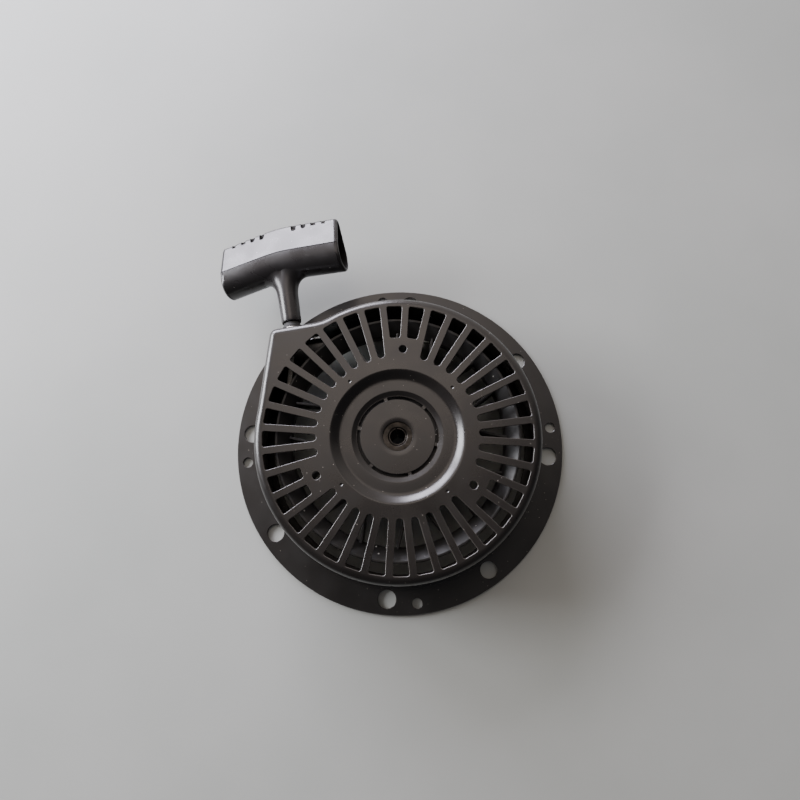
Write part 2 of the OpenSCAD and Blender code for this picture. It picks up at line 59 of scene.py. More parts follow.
# ---------------------------------------------------------------- sizes of the CAD model, in millimetres
MM = 0.001
RING_R, RING_BORE_R, RING_T = 135.0, 104.0, 2.5
BOLT_CIRCLE_R, BOLT_HOLE_R, ALT_HOLE_R, ALT_TURN = 123.0, 7.2, 6.8, 40.0
SMALL_CIRCLE_R, SMALL_HOLE_R, SMALL_TURN = 126.5, 4.0, 11.0
COVER_H, COVER_R, DRAFT, SHEET, SHOULDER = 60.0, 107.5, 3.5, 1.8, 6.0
TOE_Z, TOE_W, FOOT_BEND, TOE_LIMIT_R, TOE_PLAY = 2.5, 4.2, 2.5, 134.0, 1.2
FOOT_TOP_Z = TOE_Z + SHEET + FOOT_BEND
LOUVRE_TURN, SLOT_COUNT = 1.0, 36
SLOT_OUT_R, SLOT_IN_R, SHORT_IN_R, RIB_W, SLOT_CORNER = 100.3, 60.3, 75.0, 5.6, 1.6
SCREEN_R, SCREEN_CIRCLE_R = 3.0, 66.2
RECESS_R, RECESS_Z, FLOOR_R = 49.8, 56.0, 44.6
DISC_Z, DISC_R, LANCE_GAP, STEP_LIP, STEP_SLOPE, DISC_HOLE_R = 54.5, 28.2, 2.2, 0.5, 3.4, 11.0
BRIDGE_TURN, BRIDGE_ANGLE, BRIDGES = 52.5, 6.0, 6
ROPE_ANGLE, OUTLET_FRONT, SIDE_ANGLE, SIDE_D = 104.0047, 98.5, 178.3875, 107.2
ROPE_LINE_R, ROPE_Z, ROPE_R = 68.8, 41.0, 1.8
PULLEY_R, GROOVE_R, PULLEY_W, RIM_IN_R = 92.4, 83.0, 24.8, 81.0
CUP_R, CUP_WALL, WEB_Z, WEB_T, CUP_TOP_Z, HUB_R, HUB_Z = 47.0, 3.0, 30.0, 3.0, 47.0, 15.0, 19.1
LEAVE_R, WIND_LOW_R, LANE, KNOT_ANGLE, KNOT_CIRCLE_R, KNOT_R = 87.95, 84.8, 1.85, 82.0, 76.0, 5.0
POST_R, POST_BORE_R, POST_Z, POST_TOP_Z = 11.0, 6.6, 19.2, 52.7
DOG_CIRCLE_R, DOG_PIN_R, DOG_REACH, DOG_REST, DOG_SWING, CAM_TURN = 26.0, 3.0, 24.0, -104.0, 42.0, 28.0
STEM_LEN, STEM_TIP_R, STEM_ROOT_R = 38.0, 7.8, 8.8
BAR_LEN, BAR_DEPTH, BAR_T, BAR_WALL, ROLL = 102.0, 45.0, 28.0, 2.6, 12.0
EYELET_TUBE_R, EYELET_BORE_R, FLANGE_R, FLANGE_T = 4.6, 3.0, 8.0, 2.0
GROMMET_R, GROMMET_T, HANDLE_GAP, WASHER_T, EYELET_FLARE_T = 7.4, 4.6, 0.4, 1.6, 1.5
DIMPLE_R, DIMPLE_CIRCLE_R, DIMPLE_TURN = 1.25, 54.5, 45.9
SPOKES, SPOKE_TURN, SPOKE_H, SPOKE_T = 8, 17.5, 16.0, 2.0
BRAID_PITCH, BRAID_STRANDS = 4.2, 4

SHOULDER_Z = COVER_H - SHOULDER
WALL_LEAN = DRAFT / (SHOULDER_Z - FOOT_TOP_Z)
WALL_AT_ROPE = OUTLET_FRONT + WALL_LEAN * (SHOULDER_Z - ROPE_Z)
EYELET_FACE = WALL_AT_ROPE + FLANGE_T
GROMMET_FACE = EYELET_FACE + GROMMET_T
HANDLE_START = GROMMET_FACE + HANDLE_GAP
EYELET_BACK = WALL_AT_ROPE - SHEET - 0.4
ROPE_BEND = EYELET_BACK - EYELET_FLARE_T - 2.0
TOP_EDGE = SHOULDER + 0.6
SEAT_AT = STEM_LEN + BAR_WALL
KNOT_AT = SEAT_AT + WASHER_T + KNOT_R

ON_ROPE = (Matrix.Translation((0, 0, ROPE_Z))
           @ Matrix.Rotation(math.radians(ROPE_ANGLE - 90), 4, "Z")
           @ Matrix.Translation((-ROPE_LINE_R, 0, 0)))
IN_HANDLE = (ON_ROPE @ Matrix.Translation((0, HANDLE_START, 0))
             @ Matrix.Rotation(math.radians(-ROLL), 4, "Y"))
# turns a lathe's Z into the rope's line
ALONG_ROPE = ON_ROPE @ Matrix.Rotation(math.radians(-90), 4, "X")
ALONG_HANDLE = IN_HANDLE @ Matrix.Rotation(math.radians(-90), 4, "X")


# ---------------------------------------------------------------- mesh helpers
def polar(r, angle):
    """The point of the plane at a radius and an angle in degrees."""
    a = math.radians(angle)
    return r * math.cos(a), r * math.sin(a)


def arc(cx, cy, r, start, end, steps):
    points = (polar(r, start + (end - start) * i / steps) for i in range(steps + 1))
    return [(cx + x, cy + y) for x, y in points]


def circle(cx, cy, r, n):
    return arc(cx, cy, r, 0, 360, n)[:-1]


def turned(points, angle):
    c, s = polar(1, angle)
    return [(x * c - y * s, x * s + y * c) for x, y in points]


def smooth(x):
    x = min(1.0, max(0.0, x))
    return x * x * (3 - 2 * x)


ROPE_DIR = np.array(polar(1, ROPE_ANGLE))
ROPE_LEFT = np.array((-ROPE_DIR[1], ROPE_DIR[0]))


def rounded(points, radius, steps=4, closed=True):
    """A line of points with each corner rounded; radius is one number or one per corner."""
    out, n = [], len(points)
    for i, p in enumerate(points):
        r = radius[i] if hasattr(radius, "__len__") else radius
        if r <= 0 or (not closed and i in (0, n - 1)):
            out.append(tuple(p))
            continue
        p, a, b = (np.array(q, float) for q in (p, points[i - 1], points[(i + 1) % n]))
        ua, ub = (a - p) / np.linalg.norm(a - p), (b - p) / np.linalg.norm(b - p)
        half = math.acos(max(-1.0, min(1.0, float(ua @ ub)))) / 2
        if half > math.radians(88):
            out.append(tuple(p))
            continue
        reach = min(r / math.tan(half), *(0.49 * np.linalg.norm(q - p) for q in (a, b)))
        start, end = p + ua * reach, p + ub * reach
        for k in range(steps + 1):
            t = k / steps
            out.append(tuple((1 - t) ** 2 * start + 2 * t * (1 - t) * p + t * t * end))
    return out


def offset(loop, d):
    """A closed loop moved outwards by d, whichever way round it runs."""
    p = np.array(loop, float)
    nxt, prv = np.roll(p, -1, 0), np.roll(p, 1, 0)
    area = float(np.sum(p[:, 0] * nxt[:, 1] - nxt[:, 0] * p[:, 1]))
    side = 1.0 if area > 0 else -1.0
    e1, e2 = p - prv, nxt - p
    n1 = np.c_[e1[:, 1], -e1[:, 0]] / np.linalg.norm(e1, axis=1)[:, None]
    n2 = np.c_[e2[:, 1], -e2[:, 0]] / np.linalg.norm(e2, axis=1)[:, None]
    n = n1 + n2
    n /= np.maximum(1e-9, np.linalg.norm(n, axis=1))[:, None]
    n /= np.maximum(0.5, np.sum(n * n1, axis=1))[:, None]
    return [tuple(q) for q in p + side * d * n]


class Shape:
    """Points in millimetres and faces, each with a material number."""

    def __init__(self):
        self.v, self.f, self.m, self.flat = [], [], [], set()

    def grid(self, rings, around=True, along=False, mat=0):
        base, rows, cols = len(self.v), len(rings), len(rings[0])
        for ring in rings:
            self.v.extend(tuple(p) for p in ring)
        for i in range(rows if along else rows - 1):
            for j in range(cols if around else cols - 1):
                a, b = base + i * cols, base + ((i + 1) % rows) * cols
                k = (j + 1) % cols
                self.f.append((a + j, a + k, b + k, b + j))
                self.m.append(mat(i, j) if callable(mat) else mat)

    def cap(self, ring):
        base = len(self.v)
        self.v.extend(tuple(p) for p in ring)
        self.f.append(tuple(range(base, base + len(ring))))
        self.m.append(0)

    def region(self, loops, z):
        """A flat area at height z, inside an odd number of the loops.
        z can also be a function that places a point of the plane."""
        points, edges = [], []
        for loop in loops:
            base, n = len(points), len(loop)
            points += [tuple(p) for p in loop]
            edges += [(base + i, base + (i + 1) % n) for i in range(n)]
        made = delaunay_2d_cdt(points, edges, [], 0, 1e-6)
        flat = np.array([tuple(p) for p in made[0]])
        tris = np.array(made[2])
        mid = flat[tris].mean(axis=1)
        a = np.array([points[e[0]] for e in edges])
        b = np.array([points[e[1]] for e in edges])
        y = mid[:, 1][:, None]
        with np.errstate(divide="ignore", invalid="ignore"):
            cross = a[:, 0] + (y - a[:, 1]) * (b[:, 0] - a[:, 0]) / (b[:, 1] - a[:, 1])
        hit = ((a[:, 1] > y) != (b[:, 1] > y)) & (cross > mid[:, 0][:, None])
        keep = hit.sum(axis=1) % 2 == 1
        base = len(self.v)
        self.v.extend(z(float(a), float(b)) if callable(z) else (float(a), float(b), z)
                      for a, b in flat)
        for t in tris[keep]:
            self.flat.add(len(self.f))
            self.f.append(tuple(int(base + k) for k in t))
            self.m.append(0)

    def slab(self, outer, holes, z0, z1, bevel, edge=0):
        """A flat plate with its edges taken off; edge is their material."""
        small, large = offset(outer, -bevel), [offset(h, bevel) for h in holes]
        for z in (z0, z1):
            self.region([small] + large, z)
        for full, cut in [(outer, small)] + list(zip(holes, large)):
            self.grid([[(x, y, z0) for x, y in cut], [(x, y, z0 + bevel) for x, y in full],
                       [(x, y, z1 - bevel) for x, y in full], [(x, y, z1) for x, y in cut]],
                      mat=edge)

    def lathe(self, profile, n, at=(0, 0)):
        spins = [polar(1, 360 * i / n) for i in range(n)]
        self.grid([[(at[0] + r * c, at[1] + r * s, z) for r, z in profile] for c, s in spins],
                  along=True)

    def tube(self, path, r, sides=12, relief=None):
        """A round strand along a path, with its ends rounded.
        relief(length along, angle) adds to the radius."""
        p = np.array(path, float)
        t = np.gradient(p, axis=0)
        t /= np.linalg.norm(t, axis=1)[:, None]
        up = np.array((0, 0, 1.0)) if abs(t[0][2]) < 0.9 else np.array((1.0, 0, 0))
        n = np.cross(t[0], np.cross(up, t[0]))
        n /= np.linalg.norm(n)
        rings, run = [], 0.0
        for i in range(len(p)):
            n = n - t[i] * float(n @ t[i])
            n /= np.linalg.norm(n)
            b = np.cross(t[i], n)
            if i:
                run += float(np.linalg.norm(p[i] - p[i - 1]))
            ring = []
            for k in range(sides):
                a = 2 * math.pi * k / sides
                reach = r + (relief(run, a) if relief else 0.0)
                ring.append(p[i] + reach * (math.cos(a) * n + math.sin(a) * b))
            rings.append(ring)
        def end(ring, q, d):
            """The rings that round off one end, from the strand outwards."""
            return [[q + (v - q) * math.cos(math.asin(u)) + d * r * 0.6 * u for v in ring]
                    for u in (0.35, 0.7, 0.92)]

        rings = end(rings[0], p[0], -t[0])[::-1] + rings + end(rings[-1], p[-1], t[-1])
        self.cap(rings[0])
        self.cap(rings[-1])
        self.grid(rings)

    def moved(self, matrix):
        m = np.array(matrix)
        p = np.c_[np.array(self.v), np.ones(len(self.v))] @ m.T
        self.v = [tuple(q[:3]) for q in p]
        return self


def piece(name, shape, materials, body, stands_for=(), sharp=35.0):
    """A mesh object of one shape. Edges that turn by more than sharp degrees stay hard."""
    mesh = bpy.data.meshes.new(name)
    mesh.from_pydata([tuple(c * MM for c in p) for p in shape.v], [], shape.f)
    for m in materials:
        mesh.materials.append(m)
    mesh.polygons.foreach_set("material_index", shape.m)
    mesh.polygons.foreach_set("use_smooth", [i not in shape.flat for i in range(len(shape.f))])
    bm = bmesh.new()
    bm.from_mesh(mesh)
    bmesh.ops.remove_doubles(bm, verts=bm.verts, dist=2e-6)
    bmesh.ops.recalc_face_normals(bm, faces=bm.faces)
    for edge in bm.edges:
        turn = edge.calc_face_angle(0.0)
        edge.smooth = len(edge.link_faces) == 2 and turn < math.radians(sharp)
    bm.to_mesh(mesh)
    bm.free()
    obj = bpy.data.objects.new(name, mesh)
    bpy.context.scene.collection.objects.link(obj)
    if body:
        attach(obj, body)
    if stands_for:
        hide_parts(*stands_for)
    return obj


# ---------------------------------------------------------------- materials
class Nodes:
    """Short names for building one material's node tree."""

    def __init__(self, name):
        self.mat = bpy.data.materials.new(name)
        self.mat.use_nodes = True
        self.tree = self.mat.node_tree
        self.bsdf = self.tree.nodes["Principled BSDF"]
        self.coord = self.add("ShaderNodeTexCoord").outputs["Object"]

    def add(self, kind, **props):
        node = self.tree.nodes.new(kind)
        for k, v in props.items():
            setattr(node, k, v)
        return node

    def link(self, a, b):
        self.tree.links.new(a, b)

    def feed(self, value, socket):
        if isinstance(value, bpy.types.NodeSocket):
            self.link(value, socket)
        else:
            socket.default_value = value

    def math(self, op, a, b=0.0):
        node = self.add("ShaderNodeMath", operation=op)
        self.feed(a, node.inputs[0])
        self.feed(b, node.inputs[1])
        return node.outputs[0]

    def noise(self, scale, detail, rough=0.55, vector=None):
        node = self.add("ShaderNodeTexNoise")
        node.inputs["Scale"].default_value = scale
        node.inputs["Detail"].default_value = detail
        node.inputs["Roughness"].default_value = rough
        self.link(vector or self.coord, node.inputs["Vector"])
        return node.outputs["Fac"]

    def ramp(self, value, low, high, to_low=0.0, to_high=1.0):
        node = self.add("ShaderNodeMapRange", interpolation_type="SMOOTHSTEP")
        self.feed(value, node.inputs["Value"])
        for key, x in (("From Min", low), ("From Max", high),
                       ("To Min", to_low), ("To Max", to_high)):
            node.inputs[key].default_value = x
        return node.outputs["Result"]

    def mix(self, share, a, b):
        node = self.add("ShaderNodeMix", data_type="RGBA")
        self.feed(share, node.inputs["Factor"])
        for colour, socket in ((a, node.inputs[6]), (b, node.inputs[7])):
            self.feed((*colour, 1.0) if isinstance(colour, tuple) else colour, socket)
        return node.outputs[2]

    def tinted(self, colour, mask, share, tint):
        """The colour with a tint over it where the mask is."""
        return self.mix(self.math("MULTIPLY", mask, share), colour, tint)

    def stretched(self, scale, turn=(0.0, 0.0, 0.0)):
        """Object coordinates scaled apart along each axis, for drawn marks."""
        node = self.add("ShaderNodeMapping")
        node.inputs["Scale"].default_value = scale
        node.inputs["Rotation"].default_value = turn
        self.link(self.coord, node.inputs["Vector"])
        return node.outputs[0]

    def specks(self, scale, share, size):
        """Small round marks: 1 inside a mark, 0 outside."""
        cells = self.add("ShaderNodeTexVoronoi", feature="F1")
        cells.inputs["Scale"].default_value = scale
        self.link(self.coord, cells.inputs["Vector"])
        split = self.add("ShaderNodeSeparateColor")
        self.link(cells.outputs["Color"], split.inputs[0])
        chosen = self.math("LESS_THAN", split.outputs[0], share)
        reach = self.math("MULTIPLY", split.outputs[1], size)
        near = self.math("LESS_THAN", cells.outputs["Distance"], reach)
        return self.math("MULTIPLY", chosen, near)

    def bump(self, height, distance, strength, after=None):
        node = self.add("ShaderNodeBump")
        node.inputs["Strength"].default_value = strength
        node.inputs["Distance"].default_value = distance
        self.feed(height, node.inputs["Height"])
        if after is not None:
            self.link(after, node.inputs["Normal"])
        return node.outputs["Normal"]

    def set(self, **values):
        for key, value in values.items():
            socket = self.bsdf.inputs[key.replace("_", " ")]
            self.feed((*value, 1.0) if isinstance(value, tuple) else value, socket)
        return self.mat


def paint(name, dark, light, rough, dust):
    """Semi-gloss enamel: slight orange peel, mottling, wiped patches and dust."""
    n = Nodes(name)
    colour = n.mix(n.ramp(n.noise(14.0, 4.0), 0.35, 0.7), dark, light)
    dusty = n.math("MAXIMUM", n.specks(240.0, dust * 0.5, 0.14), n.specks(800.0, dust, 0.26))
    colour = n.tinted(colour, dusty, 0.6, (0.42, 0.38, 0.33))
    peel = n.bump(n.noise(900.0, 2.0), 0.00003, 0.35)
    wave = n.bump(n.noise(60.0, 2.0), 0.00012, 0.3, peel)
    roughness = n.ramp(n.noise(35.0, 5.0), 0.3, 0.75, rough - 0.05, rough + 0.1)
    roughness = n.math("MAXIMUM", roughness, n.math("MULTIPLY", dusty, 0.8))
    return n.set(Base_Color=colour, Roughness=roughness, Normal=wave, Specular_IOR_Level=0.5,
                 Coat_Weight=0.25, Coat_Roughness=0.22)


def plastic(name, dark, light, rough, grain, dust=0.04, sheen=0.0):
    """Moulded plastic: fine spark-eroded grain, faint flow marks, scuffs and dust."""
    n = Nodes(name)
    colour = n.mix(n.ramp(n.noise(22.0, 4.0), 0.35, 0.7), dark, light)
    scuffed = n.stretched((40.0, 900.0, 400.0), (0.2, 0.4, 0.7))
    marks = n.ramp(n.noise(1.0, 3.0, 0.6, scuffed), 0.66, 0.74)
    colour = n.tinted(colour, marks, 0.25, tuple(min(1.0, 3.0 * c + 0.03) for c in light))
    colour = n.tinted(colour, n.specks(420.0, dust, 0.26), 0.8, (0.6, 0.58, 0.54))
    fine = n.bump(n.noise(2600.0, 2.0), 0.00002, grain)
    flow = n.bump(n.noise(90.0, 2.0), 0.00006, 0.25, fine)
    roughness = n.ramp(n.noise(50.0, 4.0), 0.3, 0.75, rough - 0.06, rough + 0.06)
    return n.set(Base_Color=colour, Roughness=roughness, Normal=flow, Sheen_Weight=sheen,
                 Sheen_Roughness=0.4)


def metal(name, dark, light, rough, stained=0.3):
    """Plated or pressed steel: drawn marks, cloudy plating and oil stains."""
    n = Nodes(name)
    colour = n.mix(n.ramp(n.noise(120.0, 5.0), 0.3, 0.7), dark, light)
    lines = n.noise(1.0, 4.0, 0.6, n.stretched((120.0, 1800.0, 700.0)))
    oily = n.ramp(n.noise(70.0, 4.0), 0.52, 0.7)
    colour = n.tinted(colour, oily, stained, (0.12, 0.09, 0.06))
    roughness = n.ramp(lines, 0.3, 0.7, rough - 0.08, rough + 0.1)
    return n.set(Base_Color=colour, Roughness=roughness, Normal=n.bump(lines, 0.00002, 0.35),
                 Metallic=1.0)


def rope_material(name, line=None):
    """Braided starter rope. line is a straight strand's place and rotation in object space;
    without it the strand's UVs are used."""
    n = Nodes(name)
    split = n.add("ShaderNodeSeparateXYZ")
    if line is None:
        n.link(n.add("ShaderNodeUVMap").outputs[0], split.inputs[0])
        run, turn = split.outputs[0], n.math("MULTIPLY", split.outputs[1], 2 * math.pi)
    else:
        on_line = n.add("ShaderNodeMapping", vector_type="TEXTURE")
        for key, value in zip(("Location", "Rotation"), line):
            on_line.inputs[key].default_value = value
        n.link(n.coord, on_line.inputs["Vector"])
        n.link(on_line.outputs[0], split.inputs[0])
        run = split.outputs[1]
        turn = n.math("ARCTAN2", split.outputs[2], split.outputs[0])
    lay = n.math("MULTIPLY", run, 2 * math.pi / (BRAID_PITCH * MM))
    twist = n.math("MULTIPLY", turn, float(BRAID_STRANDS))
    right, left = (n.math("SINE", n.math(op, lay, twist)) for op in ("ADD", "SUBTRACT"))
    weave = n.math("MULTIPLY", right, left)
    height = n.math("ABSOLUTE", weave)
    yarn = n.math("ADD", height, n.math("MULTIPLY", n.noise(3000.0, 2.0), 0.35))
    colour = n.mix(n.ramp(weave, -0.25, 0.25), (0.66, 0.63, 0.56), (0.78, 0.76, 0.70))
    # painted shade: the grooves between the braid's strands are darkened
    colour = n.mix(n.ramp(height, 0.02, 0.3, 0.75, 0.0), colour, (0.16, 0.14, 0.11))
    grime = n.ramp(n.noise(45.0, 4.0), 0.5, 0.75)
    colour = n.tinted(colour, grime, 0.35, (0.3, 0.26, 0.2))
    return n.set(Base_Color=colour, Roughness=0.82, Normal=n.bump(yarn, 0.00025, 0.8),
                 Sheen_Weight=0.3)


COVER_PAINT = paint("cover_paint", (0.006, 0.0047, 0.004), (0.0095, 0.0076, 0.0064), 0.29, 0.03)
# lighter copy of the cover paint for cut edges: partly worn paint, partly a painted highlight along the
# edges
EDGE_WEAR_AND_HIGHLIGHT = paint("edge_wear_and_highlight_paint", (0.035, 0.031, 0.028), (0.07, 0.064, 0.058), 0.26, 0.02)
RING_PAINT = paint("ring_paint", (0.006, 0.005, 0.0044), (0.0092, 0.0078, 0.007), 0.34, 0.03)
PULLEY_PLASTIC = plastic("pulley_plastic", (0.0085, 0.0077, 0.0072), (0.016, 0.0145, 0.0135),
                         0.5, 0.3)
GRIP_PLASTIC = plastic("grip_plastic", (0.0125, 0.011, 0.011), (0.018, 0.016, 0.0165),
                       0.3, 0.2, 0.02, 0.05)
# near-black plastic for the notch pockets: painted shade in the pockets, with dust specks
GRIP_NOTCH_SHADE = plastic("grip_notch_shade", (0.004, 0.0035, 0.003), (0.016, 0.011, 0.007), 0.8, 0.3, 0.1)
RUBBER = plastic("rubber", (0.01, 0.01, 0.01), (0.02, 0.02, 0.02), 0.7, 0.4)
NYLON = plastic("nylon", (0.55, 0.53, 0.46), (0.72, 0.70, 0.63), 0.45, 0.15, 0.02)
ZINC = metal("zinc", (0.42, 0.40, 0.34), (0.62, 0.60, 0.54), 0.34)
BLACK_STEEL = metal("black_steel", (0.022, 0.02, 0.018), (0.06, 0.055, 0.05), 0.3)
STEEL = metal("pin_steel", (0.32, 0.32, 0.33), (0.52, 0.52, 0.53), 0.3)
EYELET_STEEL = metal("eyelet_steel", (0.4, 0.39, 0.37), (0.6, 0.59, 0.56), 0.26)
DOG_STEEL = metal("dog_steel", (0.2, 0.2, 0.21), (0.38, 0.38, 0.4), 0.38, 0.5)
SPRING_STEEL = metal("spring_steel", (0.1, 0.12, 0.17), (0.22, 0.25, 0.3), 0.28, 0.4)
ROPE = rope_material("rope_braid")


# ---------------------------------------------------------------- cover
def cover_outline():
    """The cover's shoulder line as (point, outward normal) pairs, anticlockwise."""
    out = []
    n1, n2 = np.array(polar(1, SIDE_ANGLE)), ROPE_DIR
    t1, t2 = np.array((-n1[1], n1[0])), ROPE_LEFT
    hollow, side_hollow, corner = 38.0, 60.0, 6.6

    def blend(d, r):
        """How far along a straight wall the centre of its hollow arc is."""
        return math.sqrt((COVER_R + r) ** 2 - (d + r) ** 2)

    def bend(c, r, start, end, steps, side):
        """An arc without its ends; side is -1 where it is hollow."""
        for i in range(1, steps):
            d = np.array(polar(1, start + (end - start) * i / steps))
            out.append((c + r * d, side * d))

    def straight(start, end, normal, steps):
        out.extend((start + (end - start) * i / steps, normal) for i in range(steps + 1))

    s_front, s_side = blend(OUTLET_FRONT, hollow), -blend(SIDE_D, side_hollow)
    c_front = n2 * (OUTLET_FRONT + hollow) + t2 * s_front
    c_side = n1 * (SIDE_D + side_hollow) + t1 * s_side
    a_front = math.degrees(math.atan2(c_front[1], c_front[0]))
    a_side = math.degrees(math.atan2(c_side[1], c_side[0]))
    corner_c = np.linalg.solve(np.array((n1, n2)), np.array((SIDE_D - corner, OUTLET_FRONT - corner)))
    steps = 250
    for i in range(steps + 1):
        n = np.array(polar(1, a_side + (a_front + 360 - a_side) * i / steps))
        out.append((n * COVER_R, n))
    bend(c_front, hollow, a_front + 180, ROPE_ANGLE + 180, 14, -1)
    straight(n2 * OUTLET_FRONT + t2 * s_front, corner_c + n2 * corner, n2, 16)
    bend(corner_c, corner, ROPE_ANGLE, SIDE_ANGLE, 12, 1)
    straight(corner_c + n1 * corner, n1 * SIDE_D + t1 * s_side, n1, 32)
    bend(c_side, side_hollow, SIDE_ANGLE + 180, a_side + 180, 4, -1)
    return out


def slot_loop(inner_r, grow=0.0):
    """One louvre: a round inner end, or a nearly square one for a short slot."""
    half = math.sin(math.radians(180 / SLOT_COUNT))
    in_half = (inner_r + RIB_W / 2) * half - RIB_W / 2
    out_side = SLOT_OUT_R * half - RIB_W / 2 - SLOT_CORNER
    r = SLOT_CORNER + grow
    at = SLOT_OUT_R - SLOT_CORNER
    if inner_r == SHORT_IN_R:
        start, in_side = inner_r + SLOT_CORNER, in_half - SLOT_CORNER
        inner = arc(start, in_side, r, 90, 180, 5) + arc(start, -in_side, r, 180, 270, 5)
    else:
        inner = arc(inner_r + in_half, 0, in_half + grow, 90, 270, 14)
    return inner + arc(at, -out_side, r, -90, 0, 5) + arc(at, out_side, r, 0, 90, 5)


def bolt_holes():
    """The ring's holes as (x, y, radius)."""
    kinds = ((0, BOLT_CIRCLE_R, BOLT_HOLE_R), (ALT_TURN, BOLT_CIRCLE_R, ALT_HOLE_R),
             (SMALL_TURN, SMALL_CIRCLE_R, SMALL_HOLE_R))
    return [(*polar(where, angle + 90 * k), r) for k in range(4) for angle, where, r in kinds]


def wall_profile():
    """The wall's section as (offset, z): down the outside, round the foot and up the inside."""
    height = SHOULDER_Z - FOOT_TOP_Z
    foot, lip = DRAFT + TOE_W, TOE_Z + SHEET
    shares = (0.25, 0.5, 0.75)
    return ([(-TOP_EDGE, COVER_H)] + arc(-SHOULDER, SHOULDER_Z, SHOULDER, 90, 0, 10)
            + [(DRAFT * t, SHOULDER_Z - height * t) for t in shares]
            + arc(DRAFT + FOOT_BEND, FOOT_TOP_Z, FOOT_BEND, 180, 270, 6)
            + [(foot - 0.3, lip), (foot, lip - 0.3), (foot, TOE_Z), (DRAFT + FOOT_BEND, TOE_Z),
               (DRAFT, TOE_Z), (DRAFT - 0.9, TOE_Z + 1.4), (DRAFT - SHEET, FOOT_TOP_Z)]
            + [(DRAFT * (1 - t) - SHEET, FOOT_TOP_Z + height * t) for t in shares]
            + arc(-SHOULDER, SHOULDER_Z, SHOULDER - SHEET, 0, 90, 6)
            + [(-TOP_EDGE, COVER_H - SHEET)])


def foot_point(q, n, holes):
    """A point of the foot, kept inside the ring's edge and off its holes."""
    away = float(np.linalg.norm(q))
    if away > TOE_LIMIT_R:
        q = q * TOE_LIMIT_R / away
    for hx, hy, hr in holes:
        h, r = q - np.array((hx, hy)), hr + TOE_PLAY
        if float(h @ h) < r * r:
            b = float(h @ n)
            q = q - n * (b + math.sqrt(max(0.0, b * b + r * r - float(h @ h))))
    return q


def cover_walls(s, line):
    """The walls, shoulder and foot, with flat patches where the eyelet goes through."""
    profile, holes, near = wall_profile(), bolt_holes(), 0.01
    rings = []
    for o, z in profile:
        ring = [p + n * o for p, n in line]
        if z < FOOT_TOP_Z + near and o > DRAFT - SHEET:
            ring = [foot_point(q, n, holes) for q, (p, n) in zip(ring, line)]
        rings.append([(q[0], q[1], z) for q in ring])
    s.grid(rings)
    wall = [j for j, (p, n) in enumerate(line) if float(n @ ROPE_DIR) > 1 - 1e-9]
    upright = [i for i, (o, z) in enumerate(profile) if FOOT_TOP_Z - near < z < SHOULDER_Z + near]
    outer_rows = [i for i in upright if profile[i][0] >= 0]
    inner_rows = [i for i in upright if i > outer_rows[-1]
                  and -SHEET <= profile[i][0] < DRAFT - SHEET + near]
    ts = [float(line[j][0] @ ROPE_LEFT) for j in wall]
    hole = circle(ROPE_LINE_R, ROPE_Z, EYELET_TUBE_R, 40)
    drop, edges = set(), []
    for rows, shift in ((outer_rows, 0.0), (inner_rows, -SHEET)):
        for i in rows[:-1]:
            drop.update(i * len(line) + j for j in wall[:-1])
        zs = [profile[i][1] for i in rows]
        loop = ([(t, zs[0]) for t in ts] + [(ts[-1], z) for z in zs[1:]]
                + [(t, zs[-1]) for t in ts[-2::-1]] + [(ts[0], z) for z in zs[-2:0:-1]])

        def place(t, z):
            out = OUTLET_FRONT + shift + WALL_LEAN * (SHOULDER_Z - z)
            return (*(ROPE_DIR * out + ROPE_LEFT * t), z)

        s.region([loop, hole], place)
        edges.append([place(t, z) for t, z in hole])
    s.grid(edges)
    kept = [k for k in range(len(s.f)) if k not in drop]
    s.flat = {new for new, k in enumerate(kept) if k in s.flat}
    s.f, s.m = [s.f[k] for k in kept], [s.m[k] for k in kept]


def cover_top(s, line, pan_edge):
    """The top face with its louvres, screw holes and pinholes."""
    bevel, ease = 0.32, 0.65
    cuts = []
    for i in range(SLOT_COUNT):
        angle = (i + 0.5) * 360 / SLOT_COUNT
        near = min(abs(angle - 90 - 120 * k) for k in range(-1, 3)) < 360 / SLOT_COUNT
        inner = SHORT_IN_R if near else SLOT_IN_R
        cuts.append([turned(slot_loop(inner, grow), angle + LOUVRE_TURN) for grow in (0.0, bevel)])
    for k in range(3):
        c = polar(SCREEN_CIRCLE_R, 90 + 120 * k + LOUVRE_TURN)
        cuts.append([circle(*c, SCREEN_R + grow, 32) for grow in (0.0, bevel)])
    dimples = [polar(DIMPLE_CIRCLE_R, DIMPLE_TURN + 90 * k) for k in range(4)]
    top_edge = [p - n * TOP_EDGE for p, n in line]
    s.region([top_edge, pan_edge] + [wide for full, wide in cuts]
             + [circle(*c, DIMPLE_R, 20) for c in dimples], COVER_H)
    s.region([top_edge, pan_edge] + [full for full, wide in cuts], COVER_H - SHEET)
    for full, wide in cuts:
        between = [(x + (u - x) * ease, y + (v - y) * ease) for (x, y), (u, v) in zip(wide, full)]
        rows = ((wide, 0), (between, bevel * 0.3), (full, bevel), (full, SHEET))
        # the slot edges take material 1, the lighter edge paint: worn paint and painted highlight
        s.grid([[(x, y, COVER_H - d) for x, y in loop] for loop, d in rows], mat=1)
    for c in dimples:
        rows = [[(x, y, COVER_H - d) for x, y in circle(*c, r, 20)]
                for r, d in ((DIMPLE_R, 0), (1.05, 0.12), (0.7, 0.4), (0.25, 0.52))]
        s.grid(rows)
        s.cap(rows[-1])


